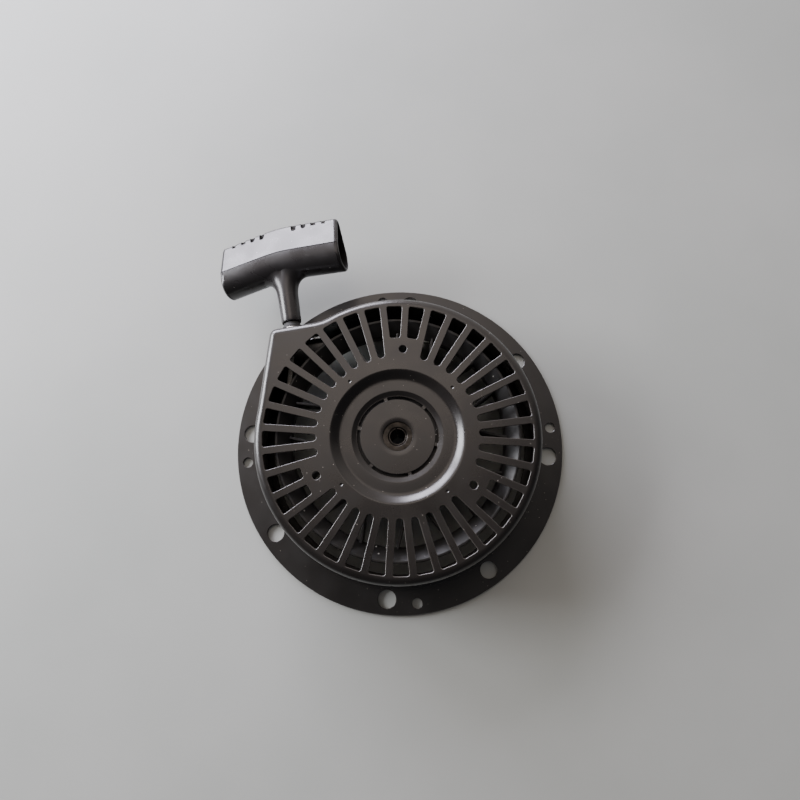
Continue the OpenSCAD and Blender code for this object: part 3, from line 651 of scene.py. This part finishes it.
def pan_profile(pan_r):
    """The top side of the pressed recess, its second step and the centre disc, as (r, z)."""
    lance_r = DISC_R + LANCE_GAP
    step_r, edge = lance_r + STEP_LIP, 0.3
    low, high = FLOOR_R - 1.3, RECESS_R + 0.6
    slope = [(low + (high - low) * t,
              RECESS_Z + (COVER_H - RECESS_Z) * (0.35 * t + 0.65 * smooth(t)))
             for t in np.linspace(0, 1, 15)]
    step = rounded([(lance_r + 0.25, DISC_Z), (step_r, DISC_Z), (step_r + STEP_SLOPE, RECESS_Z),
                    (FLOOR_R - 3, RECESS_Z)], [0, 0.6, 1.8, 0], 5, False)
    points = ([(DISC_HOLE_R, DISC_Z - 0.5), (DISC_HOLE_R + 0.15, DISC_Z - 0.15),
               (DISC_HOLE_R + 0.5, DISC_Z)]
              + [(r, DISC_Z) for r in (15.0, 19.0, 24.0, DISC_R - edge)]
              + [(DISC_R, DISC_Z - edge), (lance_r, DISC_Z - edge)]
              + step + rounded(slope, 0.5, 2, False)
              + [(pan_r, COVER_H), (37.5, RECESS_Z), (41.0, RECESS_Z)])
    return sorted(points, key=lambda q: q[0])


def cover_pan(s, pan_r, steps):
    """The recess, with the disc held by bridges across its lanced gap."""
    top = pan_profile(pan_r)
    gap = next(i for i, q in enumerate(top) if abs(q[0] - DISC_R) < 1e-6)
    lance_r = DISC_R + LANCE_GAP
    under = [(r, min(z, DISC_Z if r <= lance_r else z) - SHEET) for r, z in top]
    for i, r in ((0, DISC_HOLE_R), (1, DISC_HOLE_R + 0.15), (2, DISC_HOLE_R + 0.5),
                 (gap, top[gap][0]), (gap + 1, top[gap + 1][0])):
        under[i] = (r, DISC_Z - SHEET)

    def spun(profile):
        return [[(*polar(r, 360 * j / steps), z) for r, z in profile] for j in range(steps)]

    def bridged(j):
        a = (360.0 * (j + 0.5) / steps - BRIDGE_TURN + BRIDGE_ANGLE / 2) % (360 / BRIDGES)
        return a < BRIDGE_ANGLE

    for profile in (top[:gap + 1], top[gap + 1:], under[:gap + 1], under[gap + 1:]):
        s.grid(spun(profile), around=False, along=True)
    s.grid(spun((top[0], under[0])), around=False, along=True)
    base = len(s.v)
    for ring in spun((top[gap], top[gap + 1], under[gap + 1], under[gap])):
        s.v.extend(ring)
    for j in range(steps):
        a, b = base + 4 * j, base + 4 * ((j + 1) % steps)
        if bridged(j):
            faces = [(a, a + 1, b + 1, b), (a + 3, a + 2, b + 2, b + 3)]
            faces += [tuple(range(c, c + 4)) for c, i in ((a, j - 1), (b, j + 1)) if not bridged(i)]
        else:
            faces = [(a, a + 3, b + 3, b), (a + 1, a + 2, b + 2, b + 1)]
        s.f.extend(faces)
        # the lanced gap's cut walls take material 1, the lighter edge paint: worn paint and painted
        # highlight
        s.m.extend([0 if bridged(j) else 1] * len(faces))


def make_cover():
    s, line = Shape(), cover_outline()
    pan_r, pan_steps = RECESS_R + 1.0, 288
    cover_walls(s, line)
    cover_top(s, line, circle(0, 0, pan_r, pan_steps))
    cover_pan(s, pan_r, pan_steps)
    return s


piece("cover", make_cover(), [COVER_PAINT, EDGE_WEAR_AND_HIGHLIGHT], "housing", ("housing_cover",), 40)

ring = Shape()
# the ring's edges take material 1, the lighter edge paint: worn paint and painted highlight
ring.slab(circle(0, 0, RING_R, 256), [circle(0, 0, RING_BORE_R, 220)]
          + [circle(x, y, r, 48) for x, y, r in bolt_holes()], 0.0, RING_T, 0.35, edge=1)
piece("ring", ring, [RING_PAINT, EDGE_WEAR_AND_HIGHLIGHT], "housing", ("mounting_ring",))


# ---------------------------------------------------------------- pulley
def make_pulley():
    s = Shape()
    hub_bore, cup_in = POST_R + 0.06, CUP_R - CUP_WALL
    s.lathe(rounded([(hub_bore, HUB_Z), (HUB_R, HUB_Z), (HUB_R, WEB_Z), (CUP_R, WEB_Z),
                     (CUP_R, CUP_TOP_Z), (cup_in, CUP_TOP_Z), (cup_in, WEB_Z + WEB_T),
                     (hub_bore, WEB_Z + WEB_T)],
                    [0.4, 0.6, 1.5, 1.2, 0.6, 0.4, 1.5, 0.4]), 160)
    # half of the rim's section, from the groove's floor round to the inside; the rest mirrors it
    half_w, half_g = PULLEY_W / 2, 3.0
    lip_r = PULLEY_R - 1.9
    side = [(PULLEY_R, half_w - 1.6), (PULLEY_R, half_w), (lip_r, half_w), (RIM_IN_R, half_g + 1)]
    s.lathe([(r, ROPE_Z + z) for r, z in rounded(
        side + [(r, -z) for r, z in side[::-1]] + [(GROOVE_R, -half_g), (GROOVE_R, half_g)],
        [0.3, 0.7, 0.6, 1.5, 1.5, 0.6, 0.7, 0.3, 1.0, 1.0])], 220)
    half_t, half_h = SPOKE_T / 2, SPOKE_H / 2
    sect = rounded([(-half_t, -half_h), (half_t, -half_h), (half_t, half_h), (-half_t, half_h)],
                   0.5, 3)
    for k in range(SPOKES):
        for side in (-1, 1):
            # the spokes stand in pairs that open outwards
            p = np.array(polar(CUP_R - 1, side * 3))
            q = np.array(polar(RIM_IN_R + 1, side * 13))
            d = (q - p) / np.linalg.norm(q - p)
            n = np.array((-d[1], d[0]))
            ends = []
            for c in (p, q):
                flat = turned([tuple(c + n * u) for u, w in sect], SPOKE_TURN + 360 / SPOKES * k)
                ends.append([(x, y, ROPE_Z + w) for (x, y), (u, w) in zip(flat, sect)])
            s.grid(ends)
            s.cap(ends[0])
            s.cap(ends[1])
    for side in (-1, 1):
        s.lathe(rounded([(DOG_PIN_R, 24.6), (6, 24.6), (6, WEB_Z + 0.5), (DOG_PIN_R, WEB_Z + 0.5)],
                        [0.3, 0.5, 0, 0]), 48, at=(side * DOG_CIRCLE_R, 0))
    return s


piece("pulley_body", make_pulley(), [PULLEY_PLASTIC], "pulley", ("pulley",))


def lathe_piece(name, profile, radius, mat, body, nodes, n=96, matrix=None):
    s = Shape()
    s.lathe(rounded(profile, radius, 4), n)
    if matrix is not None:
        s.moved(matrix)
    return piece(name, s, [mat], body, nodes)


def washer(r0, r1, z0, z1):
    return [(r0, z0), (r1, z0), (r1, z1), (r0, z1)]


lathe_piece("post", [(POST_BORE_R, POST_Z), (POST_R, POST_Z), (POST_R, 49.7), (20, 49.7),
                     (20, POST_TOP_Z), (POST_BORE_R + 0.8, POST_TOP_Z),
                     (POST_BORE_R, POST_TOP_Z - 0.8)],
            [0.2, 0.4, 0.5, 0.5, 0.5, 0.2, 0.2], BLACK_STEEL, "housing",
            ("centre_post",))
lathe_piece("retainer", [(POST_BORE_R, 7), (23, 7), (23, 9), (9, 9), (9, 19.2), (POST_BORE_R, 19.2)],
            [0.3, 0.6, 0.6, 0.5, 0.2, 0.2], ZINC, "housing", ("dog_retainer",))
lathe_piece("spring_lid", washer(13, CUP_R - 1.4, 47, 48.6), 0.4, PULLEY_PLASTIC, "pulley",
            ("spring_cover",))
for name, ring, radius, body in (("upper", (11.06, 17.5, 48.68, 49.62), 0.2, "housing"),
                                 ("thrust", (9.06, 15.5, 16.48, 19.1), 0.3, "pulley"),
                                 ("brake", (9.0, 15.5, 9.0, 10.0), 0.2, "housing")):
    lathe_piece("washer_" + name, washer(*ring), radius, NYLON, body, (name + "_washer",))
flange_z, flare_z = WALL_AT_ROPE + 0.6, EYELET_BACK - EYELET_FLARE_T
lathe_piece("eyelet", [(EYELET_BORE_R, flare_z), (6.4, flare_z), (6.4, EYELET_BACK),
                       (EYELET_TUBE_R, EYELET_BACK), (EYELET_TUBE_R, flange_z),
                       (FLANGE_R, flange_z), (FLANGE_R, EYELET_FACE),
                       (EYELET_BORE_R, EYELET_FACE)],
            [0.7, 0.6, 0.3, 0.2, 0.2, 0.5, 0.6, 0.5], EYELET_STEEL, "housing",
            ("rope_eyelet",), 64, ALONG_ROPE)
lathe_piece("grommet", [(EYELET_BORE_R, EYELET_FACE), (GROMMET_R, EYELET_FACE),
                        (GROMMET_R - 0.2, EYELET_FACE + 2.0), (GROMMET_R - 0.7, EYELET_FACE + 2.4),
                        (GROMMET_R - 1.0, GROMMET_FACE), (EYELET_BORE_R, GROMMET_FACE)],
            [0.3, 0.4, 0.3, 0.3, 0.8, 0.4], RUBBER, "housing", ("eyelet_grommet",),
            64, ALONG_ROPE)


# ---------------------------------------------------------------- centre: roll pin, springs, cam plate, dogs
def make_pin():
    s = Shape()
    slit, wall, top = math.degrees(0.7 / POST_BORE_R), POST_BORE_R - 1, 52.1
    profile = rounded([(wall, 6), (POST_BORE_R, 6), (POST_BORE_R, top), (wall, top)], 0.3, 3)
    rings = []
    for i in range(97):
        a = ROPE_ANGLE + slit + (360 - 2 * slit) * i / 96
        rings.append([(*polar(r, a), z) for r, z in profile])
    s.grid(rings)
    s.cap(rings[0])
    s.cap(rings[-1])
    return s


piece("roll_pin", make_pin(), [BLACK_STEEL], "housing", ("spring_pin",))


def coil(r, z0, z1, turns, wire, per_turn=40, sides=12, x=0.0, start=0.0):
    """A coil spring about the line at x, between two heights."""
    n, s = int(turns * per_turn), Shape()
    spins = [polar(r, start + 360 * turns * i / n) for i in range(n + 1)]
    s.tube([(x + u, v, z0 + wire + (z1 - z0 - 2 * wire) * i / n) for i, (u, v) in enumerate(spins)],
           wire, sides)
    return s


piece("brake_coil", coil(12, 10.0, 13.92, 1.6, 0.6), [SPRING_STEEL], "housing",
      ("brake_spring",))


def peg_point(share):
    """Where a dog's peg is on the cam plate, at a share of its swing."""
    x, y = polar(11, DOG_REST + DOG_SWING * share)
    return turned([(DOG_CIRCLE_R + x, y)], -CAM_TURN * share)[0]


def track_loop(r):
    """The outline of a round peg's track, both sides and both ends."""
    line = np.array([peg_point(i / 24) for i in range(25)])
    d = np.gradient(line, axis=0)
    d /= np.linalg.norm(d, axis=1)[:, None]
    n = np.c_[-d[:, 1], d[:, 0]]
    out = [tuple(q) for q in line + n * r]
    a = math.degrees(math.atan2(n[-1][1], n[-1][0]))
    out += arc(*line[-1], r, a, a - 180, 10)[1:-1]
    out += [tuple(q) for q in (line - n * r)[::-1]]
    a = math.degrees(math.atan2(-n[0][1], -n[0][0]))
    return out + arc(*line[0], r, a, a - 180, 10)[1:-1]


plate = Shape()
plate.slab(circle(0, 0, 38, 128),
           [circle(0, 0, 9.06, 64), track_loop(2.3), turned(track_loop(2.3), 180)],
           14.0, 16.4, 0.3)
piece("cam", plate, [ZINC], "cam", ("cam_plate",))


def dog_outline():
    """Two circles and their outer tangents: a broad hub and a narrow tip."""
    apart, r0, r1 = DOG_REACH - 3, 6.4, 3.0
    lean = math.degrees(math.acos((r0 - r1) / apart))
    return arc(apart, 0, r1, -lean, lean, 16) + arc(0, 0, r0, lean, 360 - lean, 32)


for name, turn, side in (("a", 0, 1), ("b", 180, -1)):
    at = (side * DOG_CIRCLE_R, 0)
    dog = Shape()
    dog.slab(dog_outline(), [circle(0, 0, DOG_PIN_R + 0.06, 40)], 19.3, 24.3, 0.4)
    peg = rounded([(0.01, 13.5), (2, 13.5), (2, 19.6), (0.01, 19.6)], [0, 0.4, 0, 0], 3)
    dog.lathe(peg, 32, at=(11, 0))
    dog.moved(Matrix.Rotation(math.radians(turn), 4, "Z")
              @ Matrix.Translation((DOG_CIRCLE_R, 0, 0))
              @ Matrix.Rotation(math.radians(DOG_REST), 4, "Z"))
    piece("starter_dog_" + name, dog, [DOG_STEEL], "dog_" + name, ("dog_" + name,))
    pivot = Shape()
    pivot.lathe(rounded([(0.01, 17.4), (5, 17.4), (5, 18.9), (DOG_PIN_R, 18.9), (DOG_PIN_R, 32),
                         (0.01, 32)], [0, 0.5, 0.3, 0.2, 0.4, 0], 4), 48, at=at)
    piece("pivot_" + name, pivot, [STEEL], "pulley", ("dog_pivot_" + name,))
    piece("dog_coil_" + name, coil(7, 24.8, 29.8, 3, 0.5, 36, 8, at[0], turn), [SPRING_STEEL],
          "pulley", ("dog_spring_" + name,))


def make_rewind():
    """A flat strip wound seven times, hooked to the post and to the cup's wall."""
    s = Shape()
    turns, per, t, z0, z1 = 7, 60, 0.9, 33.4, 45.4
    r0, r1 = POST_R + 1.3, CUP_R - CUP_WALL - 1.3
    rings = []
    for i in range(turns * per + 1):
        r = r0 + (r1 - r0) * i / (turns * per)
        sect = rounded([(r, z0), (r + t, z0), (r + t, z1), (r, z1)], 0.2, 2)
        rings.append([(*polar(q, 360 * i / per), z) for q, z in sect])
    s.grid(rings)
    s.cap(rings[0])
    s.cap(rings[-1])
    for x0, x1, y0 in ((POST_R - 1.8, r0 + t / 2, 0.0), (r1, r1 + CUP_WALL + 0.8, -t)):
        loop = [(x0, y0), (x1, y0), (x1, y0 + t), (x0, y0 + t)]
        s.slab(rounded(loop, 0.2, 2), [], z0, z1, 0.1)
    return s


piece("rewind_strip", make_rewind(), [SPRING_STEEL], "pulley", ("rewind_spring",))


# ---------------------------------------------------------------- rope
def braid(run, angle):
    """How far the braid's strands stand out of the rope."""
    k = 2 * math.pi * run / BRAID_PITCH
    crossing = math.sin(k + BRAID_STRANDS * angle) * math.sin(k - BRAID_STRANDS * angle)
    return 0.10 * abs(crossing) - 0.08


def rope_piece(name, path, r, sides, relief, body, node):
    """A strand of rope with its braid's UVs."""
    s = Shape()
    s.tube(path, r, sides, relief)
    obj = piece(name, s, [ROPE], body, (node,), 60)
    strand_uv(obj, path)


def strand_uv(obj, path):
    """u: metres along the strand, v: turns round it, from the nearest point of the path."""
    p = np.array(path, float) * MM
    run = np.r_[0, np.cumsum(np.linalg.norm(np.diff(p, axis=0), axis=1))]
    t = np.gradient(p, axis=0)
    t /= np.linalg.norm(t, axis=1)[:, None]
    mesh = obj.data
    co = np.zeros(len(mesh.vertices) * 3)
    mesh.vertices.foreach_get("co", co)
    co = co.reshape(-1, 3)
    near = np.array([int(np.argmin(np.sum((p - c) ** 2, axis=1))) for c in co])
    up = np.array((0, 0, 1.0))
    d = co - p[near]
    side = np.cross(t[near], up)
    side /= np.maximum(1e-9, np.linalg.norm(side, axis=1))[:, None]
    angle = np.arctan2(d @ up, np.sum(d * side, axis=1)) / (2 * math.pi)
    u = run[near] + np.sum(d * t[near], axis=1)
    layer = mesh.uv_layers.new(name="strand")
    for poly in mesh.polygons:
        vs = [mesh.loops[i].vertex_index for i in poly.loop_indices]
        turn = angle[vs]
        if turn.max() - turn.min() > 0.5:
            turn = np.where(turn < 0, turn + 1, turn)
        for i, v, w in zip(poly.loop_indices, vs, turn):
            layer.data[i].uv = (u[v], w)


bend_point = ROPE_DIR * ROPE_BEND + ROPE_LEFT * ROPE_LINE_R
bend_r = float(np.linalg.norm(bend_point))
run_len = math.sqrt(bend_r ** 2 - LEAVE_R ** 2)
run_angle = math.degrees(math.atan2(bend_point[1], bend_point[0]) - math.asin(LEAVE_R / bend_r))
run_dir = np.array(polar(1, run_angle))
leave = bend_point - run_dir * run_len


def winding_path():
    """From the knot inwards: a layer down in the groove, one up, then out to where it leaves."""
    total = (KNOT_ANGLE - (run_angle + 90)) % 360 + 3 * 360
    path = [(*polar(RIM_IN_R, KNOT_ANGLE + 1), ROPE_Z)]
    steps = int(total / 2.5)
    for i in range(steps + 1):
        along = total * i / steps
        r = WIND_LOW_R + (LEAVE_R - WIND_LOW_R) * smooth((along - 690) / 50)
        lanes = (-smooth(along / 25) + 2 * smooth((along - 325) / 50)
                 - 2 * smooth((along - 1030) / 50) + smooth((along - (total - 45)) / 45))
        if along > 8:
            path.append((*polar(r, KNOT_ANGLE - along), ROPE_Z + LANE * lanes))
    return path + [(*(leave + run_dir * d), ROPE_Z) for d in (4, 8, 12)]


rope_piece("rope_turns", winding_path(), ROPE_R, 14, None, "pulley", "rope_winding")
rope_piece("rope_to_eyelet",
           [(*(leave + run_dir * run_len * t), ROPE_Z) for t in np.linspace(12.5 / run_len, 0.985, 40)],
           ROPE_R, 24, braid, "housing", "rope_run")


def line_point(t):
    """The point of the rope's line at a distance from the axis, in millimetres."""
    return (*(ROPE_DIR * t + ROPE_LEFT * ROPE_LINE_R), ROPE_Z)


def on_line(t):
    """The same point in metres."""
    return tuple(float(c) * MM for c in line_point(t))


ROPE_LINE = rope_material("rope_braid_line", (tuple(float(c) * MM for c in ON_ROPE.translation),
                                              (0, 0, math.radians(ROPE_ANGLE - 90))))
lead_rope = Shape()
lead_rope.tube([line_point(t)
                for t in np.linspace(ROPE_BEND + 0.4, HANDLE_START + KNOT_AT - 2, 150)],
               ROPE_R - 0.05, 24)
lead_obj = piece("rope_through_eyelet", lead_rope, [ROPE_LINE], None)
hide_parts("rope_lead")
on_line(EYELET_FACE)
on_line(HANDLE_START + SEAT_AT - 4)
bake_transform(lead_obj)


def knot(name, centre, body, node, size):
    """A tight overhand knot."""
    strand_r = 1.5
    turns = [2 * math.pi * i / 72 for i in range(72)]
    pts = np.array([(math.sin(t) + 2 * math.sin(2 * t), math.cos(t) - 2 * math.cos(2 * t),
                     -1.3 * math.sin(3 * t)) for t in turns])
    pts = list(map(tuple, pts * (size - strand_r - 0.05) / 3.0 + np.array(centre)))
    s = Shape()
    s.tube(pts + [pts[0]], strand_r, 14)
    strand_uv(piece(name, s, [ROPE], body, (node,), 60), pts)


knot("knot_in_pulley", (*polar(KNOT_CIRCLE_R, KNOT_ANGLE), ROPE_Z), "pulley", "rope_knot", 4.6)
at_knot = IN_HANDLE @ Matrix.Translation((0, KNOT_AT, 0))
knot("knot_in_handle", tuple(at_knot.translation), "handle", "handle_knot", KNOT_R)
lathe_piece("handle_washer", washer(2.2, 5.2, SEAT_AT, SEAT_AT + WASHER_T), 0.3, STEEL,
            "handle", ("handle_insert",), 48, ALONG_HANDLE)


# ---------------------------------------------------------------- handle
NOSE_R, NOSE_Y = 4.6, STEM_LEN + BAR_DEPTH - 4.6
BACK_Y, HALF = STEM_LEN, BAR_LEN / 2
NOTCHES = [(side * (14.0 + 8.5 * k), 7.4 - 0.85 * k - 0.19 * k * k) for side in (-1, 1)
           for k in range(4)]
NOTCH_HALF = 2.3


def droop(x):
    return 5.2 * (math.sqrt(x * x + 144) - 12) / (math.sqrt(HALF ** 2 + 144) - 12)


def notch_depth(x):
    return max(d * math.sqrt(max(0.0, 1 - (abs(x - c) / NOTCH_HALF) ** 4)) for c, d in NOTCHES)


FACET_ROWS, FACET_LEAN, NOTCH_FLOOR = 13, 69.0, 0.6


def facet_split(x):
    return 24.0 + 0.9 * (1 - (x / HALF) ** 2)


def notch_rows(x):
    """How many of the facet's rows a notch takes, and how far it runs along the facet."""
    lean = math.radians(FACET_LEAN)
    run = (NOSE_R * (math.cos(lean) - 1) + notch_depth(x)) / math.sin(lean)
    return (int(run / facet_split(x) * FACET_ROWS) if run > 0 else 0), run


def grip_section(x, shrink, notched=True):
    """Half of the bar's section, from nose to stem side, as (y, z); shrink moves it inwards."""
    c, s_ = math.cos(math.radians(FACET_LEAN)), math.sin(math.radians(FACET_LEAN))
    r = NOSE_R - shrink
    pts = [list(p) for p in arc(NOSE_Y, 0, r, 0, FACET_LEAN, 9)]
    start = np.array((NOSE_Y + r * c, r * s_))
    d = np.array((-s_, c))
    split = facet_split(x)
    crease = 0.22 * math.exp(-(x / 2.2) ** 2) if shrink < 1 else 0.0
    last, cross = notch_rows(x) if notched and shrink < 1 else (0, 0.0)
    for i in range(1, FACET_ROWS):
        run = cross if last and i == last else split * i / FACET_ROWS
        q = start + d * run
        q = q - np.array((c, s_)) * crease * (1 - (run / split) ** 2)
        pts.append(list(q))
    if notched and shrink < 1:
        # a notch is a pocket in the facet's outer edge
        limit = NOSE_Y + NOSE_R - notch_depth(x)
        for q in pts:
            if q[0] > limit + 1e-6:
                q[1] = min(q[1], NOTCH_FLOOR)
        if last:
            pts[8 + last][0] = limit + 0.02
            pts[8 + last][1] = NOTCH_FLOOR
    elif shrink > 2.5:
        # the hollow stops short of the notches
        limit = NOSE_Y + r - 6.4 * smooth((HALF - 4 - abs(x)) / 6)
        for q in pts:
            q[0] = min(q[0], limit)
    edge = start + d * split
    lip = 0.35 if shrink < 1 else 0.0
    pts.append(list(edge))
    p0 = edge + np.array((-0.35, -lip + 0.05))
    pts.append(list(p0))
    p1 = p0 + np.array((-8.5, 1.2))
    p3 = np.array((BACK_Y + shrink, 0.0))
    p2 = np.array((BACK_Y + shrink, BAR_T / 2 - shrink - 2.2))
    for i in range(1, 15):
        t = i / 14
        q = (1 - t) ** 3 * p0 + 3 * t * (1 - t) ** 2 * p1 + 3 * t * t * (1 - t) * p2 + t ** 3 * p3
        pts.append(list(q))
    return pts


def make_grip():
    s = Shape()

    def ring_at(x, shrink):
        upper = grip_section(x, shrink)
        lower = [[y, -z] for y, z in grip_section(x, shrink, False)[-2:0:-1]]
        dy = droop(x)
        return [(x, y - dy, z) for y, z in upper + lower]

    steps = [-HALF + 2.6 + (BAR_LEN - 5.2) * i / 150 for i in range(151)]
    for c, d in NOTCHES:
        near = (NOTCH_HALF - 0.1, NOTCH_HALF + 0.02)
        steps = [x for x in steps if abs(abs(x - c) - NOTCH_HALF) > 0.25] + [c + s_ * w for w in near
                                                                             for s_ in (-1, 1)]
    xs = sorted(steps)
    outside = [ring_at(x, 0.0) for x in xs]
    curve = [(2.4 * (1 - math.sin(math.radians(a))), 2.1 * (1 - math.cos(math.radians(a))))
             for a in range(90, 9, -16)]
    left = [ring_at(-HALF + a, b) for a, b in curve[::-1]]
    right = [ring_at(HALF - a, b) for a, b in curve]
    inside = [ring_at(HALF - 0.3 - (BAR_LEN - 0.6) * i / 60, BAR_WALL) for i in range(1, 60)]
    inside = [ring_at(HALF - 0.3, BAR_WALL)] + inside + [ring_at(-HALF + 0.3, BAR_WALL)]
    lips = [ring_at(HALF, BAR_WALL - 0.4)], [ring_at(-HALF, BAR_WALL - 0.4)]
    rings = left + outside + right + lips[0] + inside + lips[1]
    first, count = len(left), len(xs)

    # faces inside the notch pockets take material 1, the painted shade
    def mat(i, j):
        k = i - first
        if not 0 <= k < count - 1:
            return 0
        x = (xs[k] + xs[k + 1]) / 2
        return 1 if notch_depth(x) > 0.35 and j < 9 + notch_rows(x)[0] else 0

    s.grid(rings, along=True, mat=mat)

    def back(x, z):
        """Where the bar's stem side is, at a place across it."""
        half = grip_section(x, 0.0)
        tail = half[-15:]
        zs, ys = [q[1] for q in tail][::-1], [q[0] for q in tail][::-1]
        return float(np.interp(abs(z), zs, ys)) - droop(x)

    n, rows = 72, 16
    rings = []
    for k in range(4):
        t = k / 3
        r = STEM_TIP_R - 0.9 * (1 - math.sin(t * math.pi / 2))
        rings.append([(r * math.cos(a), 0.9 * (1 - math.cos(t * math.pi / 2)), r * math.sin(a))
                      for a in (2 * math.pi * j / n for j in range(n))])
    neck = 23.0
    for k in range(1, 7):
        y = 0.9 + (neck - 0.9) * k / 6
        r = STEM_TIP_R + (STEM_ROOT_R - STEM_TIP_R) * (y / STEM_LEN)
        rings.append([(r * math.cos(a), y, r * math.sin(a))
                      for a in (2 * math.pi * j / n for j in range(n))])
    for k in range(1, rows + 1):
        t, ring = k / rows, []
        for j in range(n):
            a = 2 * math.pi * j / n
            r = STEM_TIP_R + (STEM_ROOT_R - STEM_TIP_R) * (neck / STEM_LEN)
            wide = abs(math.cos(a)) ** 1.5
            reach = STEM_ROOT_R + 1.2 + 9.4 * wide
            p0 = np.array((r * math.cos(a), neck, r * math.sin(a)))
            rc = STEM_ROOT_R
            p1 = np.array((rc * math.cos(a), back(rc * math.cos(a), rc * math.sin(a)) - 1.0 * wide, rc
                           * math.sin(a)))
            p2 = np.array((reach * math.cos(a), back(reach * math.cos(a), reach * math.sin(a)) + 0.25,
                           reach * math.sin(a)))
            ring.append(tuple((1 - t) ** 2 * p0 + 2 * t * (1 - t) * p1 + t * t * p2))
        rings.append(ring)
    inner_r = 2.2
    deep = [(x * 0.8, STEM_LEN + 1.6, z * 0.55) for x, y, z in rings[-1]]
    rings.append(deep)
    rings.append([(inner_r * math.cos(a), STEM_LEN + 1.6, inner_r * math.sin(a))
                  for a in (2 * math.pi * j / n for j in range(n))])
    rings.append([(inner_r * math.cos(a), 0.5, inner_r * math.sin(a))
                  for a in (2 * math.pi * j / n for j in range(n))])
    rings.append([((inner_r + 0.5) * math.cos(a), 0.0, (inner_r + 0.5) * math.sin(a))
                  for a in (2 * math.pi * j / n for j in range(n))])
    s.grid(rings, along=True)
    return s.moved(IN_HANDLE)


piece("grip", make_grip(), [GRIP_PLASTIC, GRIP_NOTCH_SHADE], "handle", ("handle_grip",), 32)

# ---------------------------------------------------------------- floor, lights, background
floor_shape = Shape()
floor_shape.cap([(-3000, -3000, -0.6), (3000, -3000, -0.6), (3000, 3000, -0.6), (-3000, 3000, -0.6)])
n = Nodes("floor")
tint = n.mix(n.ramp(n.noise(3.0, 5.0), 0.3, 0.7), (0.33, 0.345, 0.325), (0.38, 0.39, 0.37))
n.set(Base_Color=tint, Roughness=0.6, Normal=n.bump(n.noise(350.0, 3.0), 0.0003, 0.15))
piece("floor", floor_shape, [n.mat], None)


def window(name, azimuth, elevation, distance, size, power, colour):
    """A soft rectangular light that faces the object."""
    data = bpy.data.lights.new(name, "AREA")
    data.shape, data.size, data.size_y = "RECTANGLE", *size
    data.energy, data.color = power, colour
    obj = bpy.data.objects.new(name, data)
    bpy.context.scene.collection.objects.link(obj)
    a, e = math.radians(azimuth), math.radians(elevation)
    way = Vector((math.cos(a) * math.cos(e), math.sin(a) * math.cos(e), math.sin(e)))
    obj.location = way * distance
    obj.rotation_euler = way.to_track_quat("Z", "Y").to_euler()


window("window_back", 124, 17, 1.6, (1.25, 0.75), 68.0, (0.9, 0.88, 1.0))
window("window_left", 168, 22, 1.6, (0.8, 0.65), 44.0, (0.94, 0.945, 1.0))
window("ceiling", 110, 71, 1.8, (0.9, 0.9), 3.4, (1.0, 0.86, 0.76))
world = bpy.data.worlds.new("world")
bpy.context.scene.world = world
world.use_nodes = True
tree = world.node_tree
way = tree.nodes.new("ShaderNodeTexCoord").outputs["Generated"]
toward = tree.nodes.new("ShaderNodeVectorMath")
toward.operation = "DOT_PRODUCT"
toward.inputs[1].default_value = (-0.3, 0.85, 0.0)
tree.links.new(way, toward.inputs[0])
share = tree.nodes.new("ShaderNodeMapRange")
for key, x in (("From Min", -0.02), ("From Max", 0.36), ("To Min", 0.0), ("To Max", 1.0)):
    share.inputs[key].default_value = x
tree.links.new(toward.outputs["Value"], share.inputs["Value"])
sky = tree.nodes.new("ShaderNodeMix")
sky.data_type = "RGBA"
sky.inputs[6].default_value = (0.1, 0.1, 0.108, 1)
sky.inputs[7].default_value = (0.95, 0.86, 0.8, 1)
tree.links.new(share.outputs["Result"], sky.inputs["Factor"])
tree.links.new(sky.outputs[2], tree.nodes["Background"].inputs[0])
tree.nodes["Background"].inputs[1].default_value = 1.0
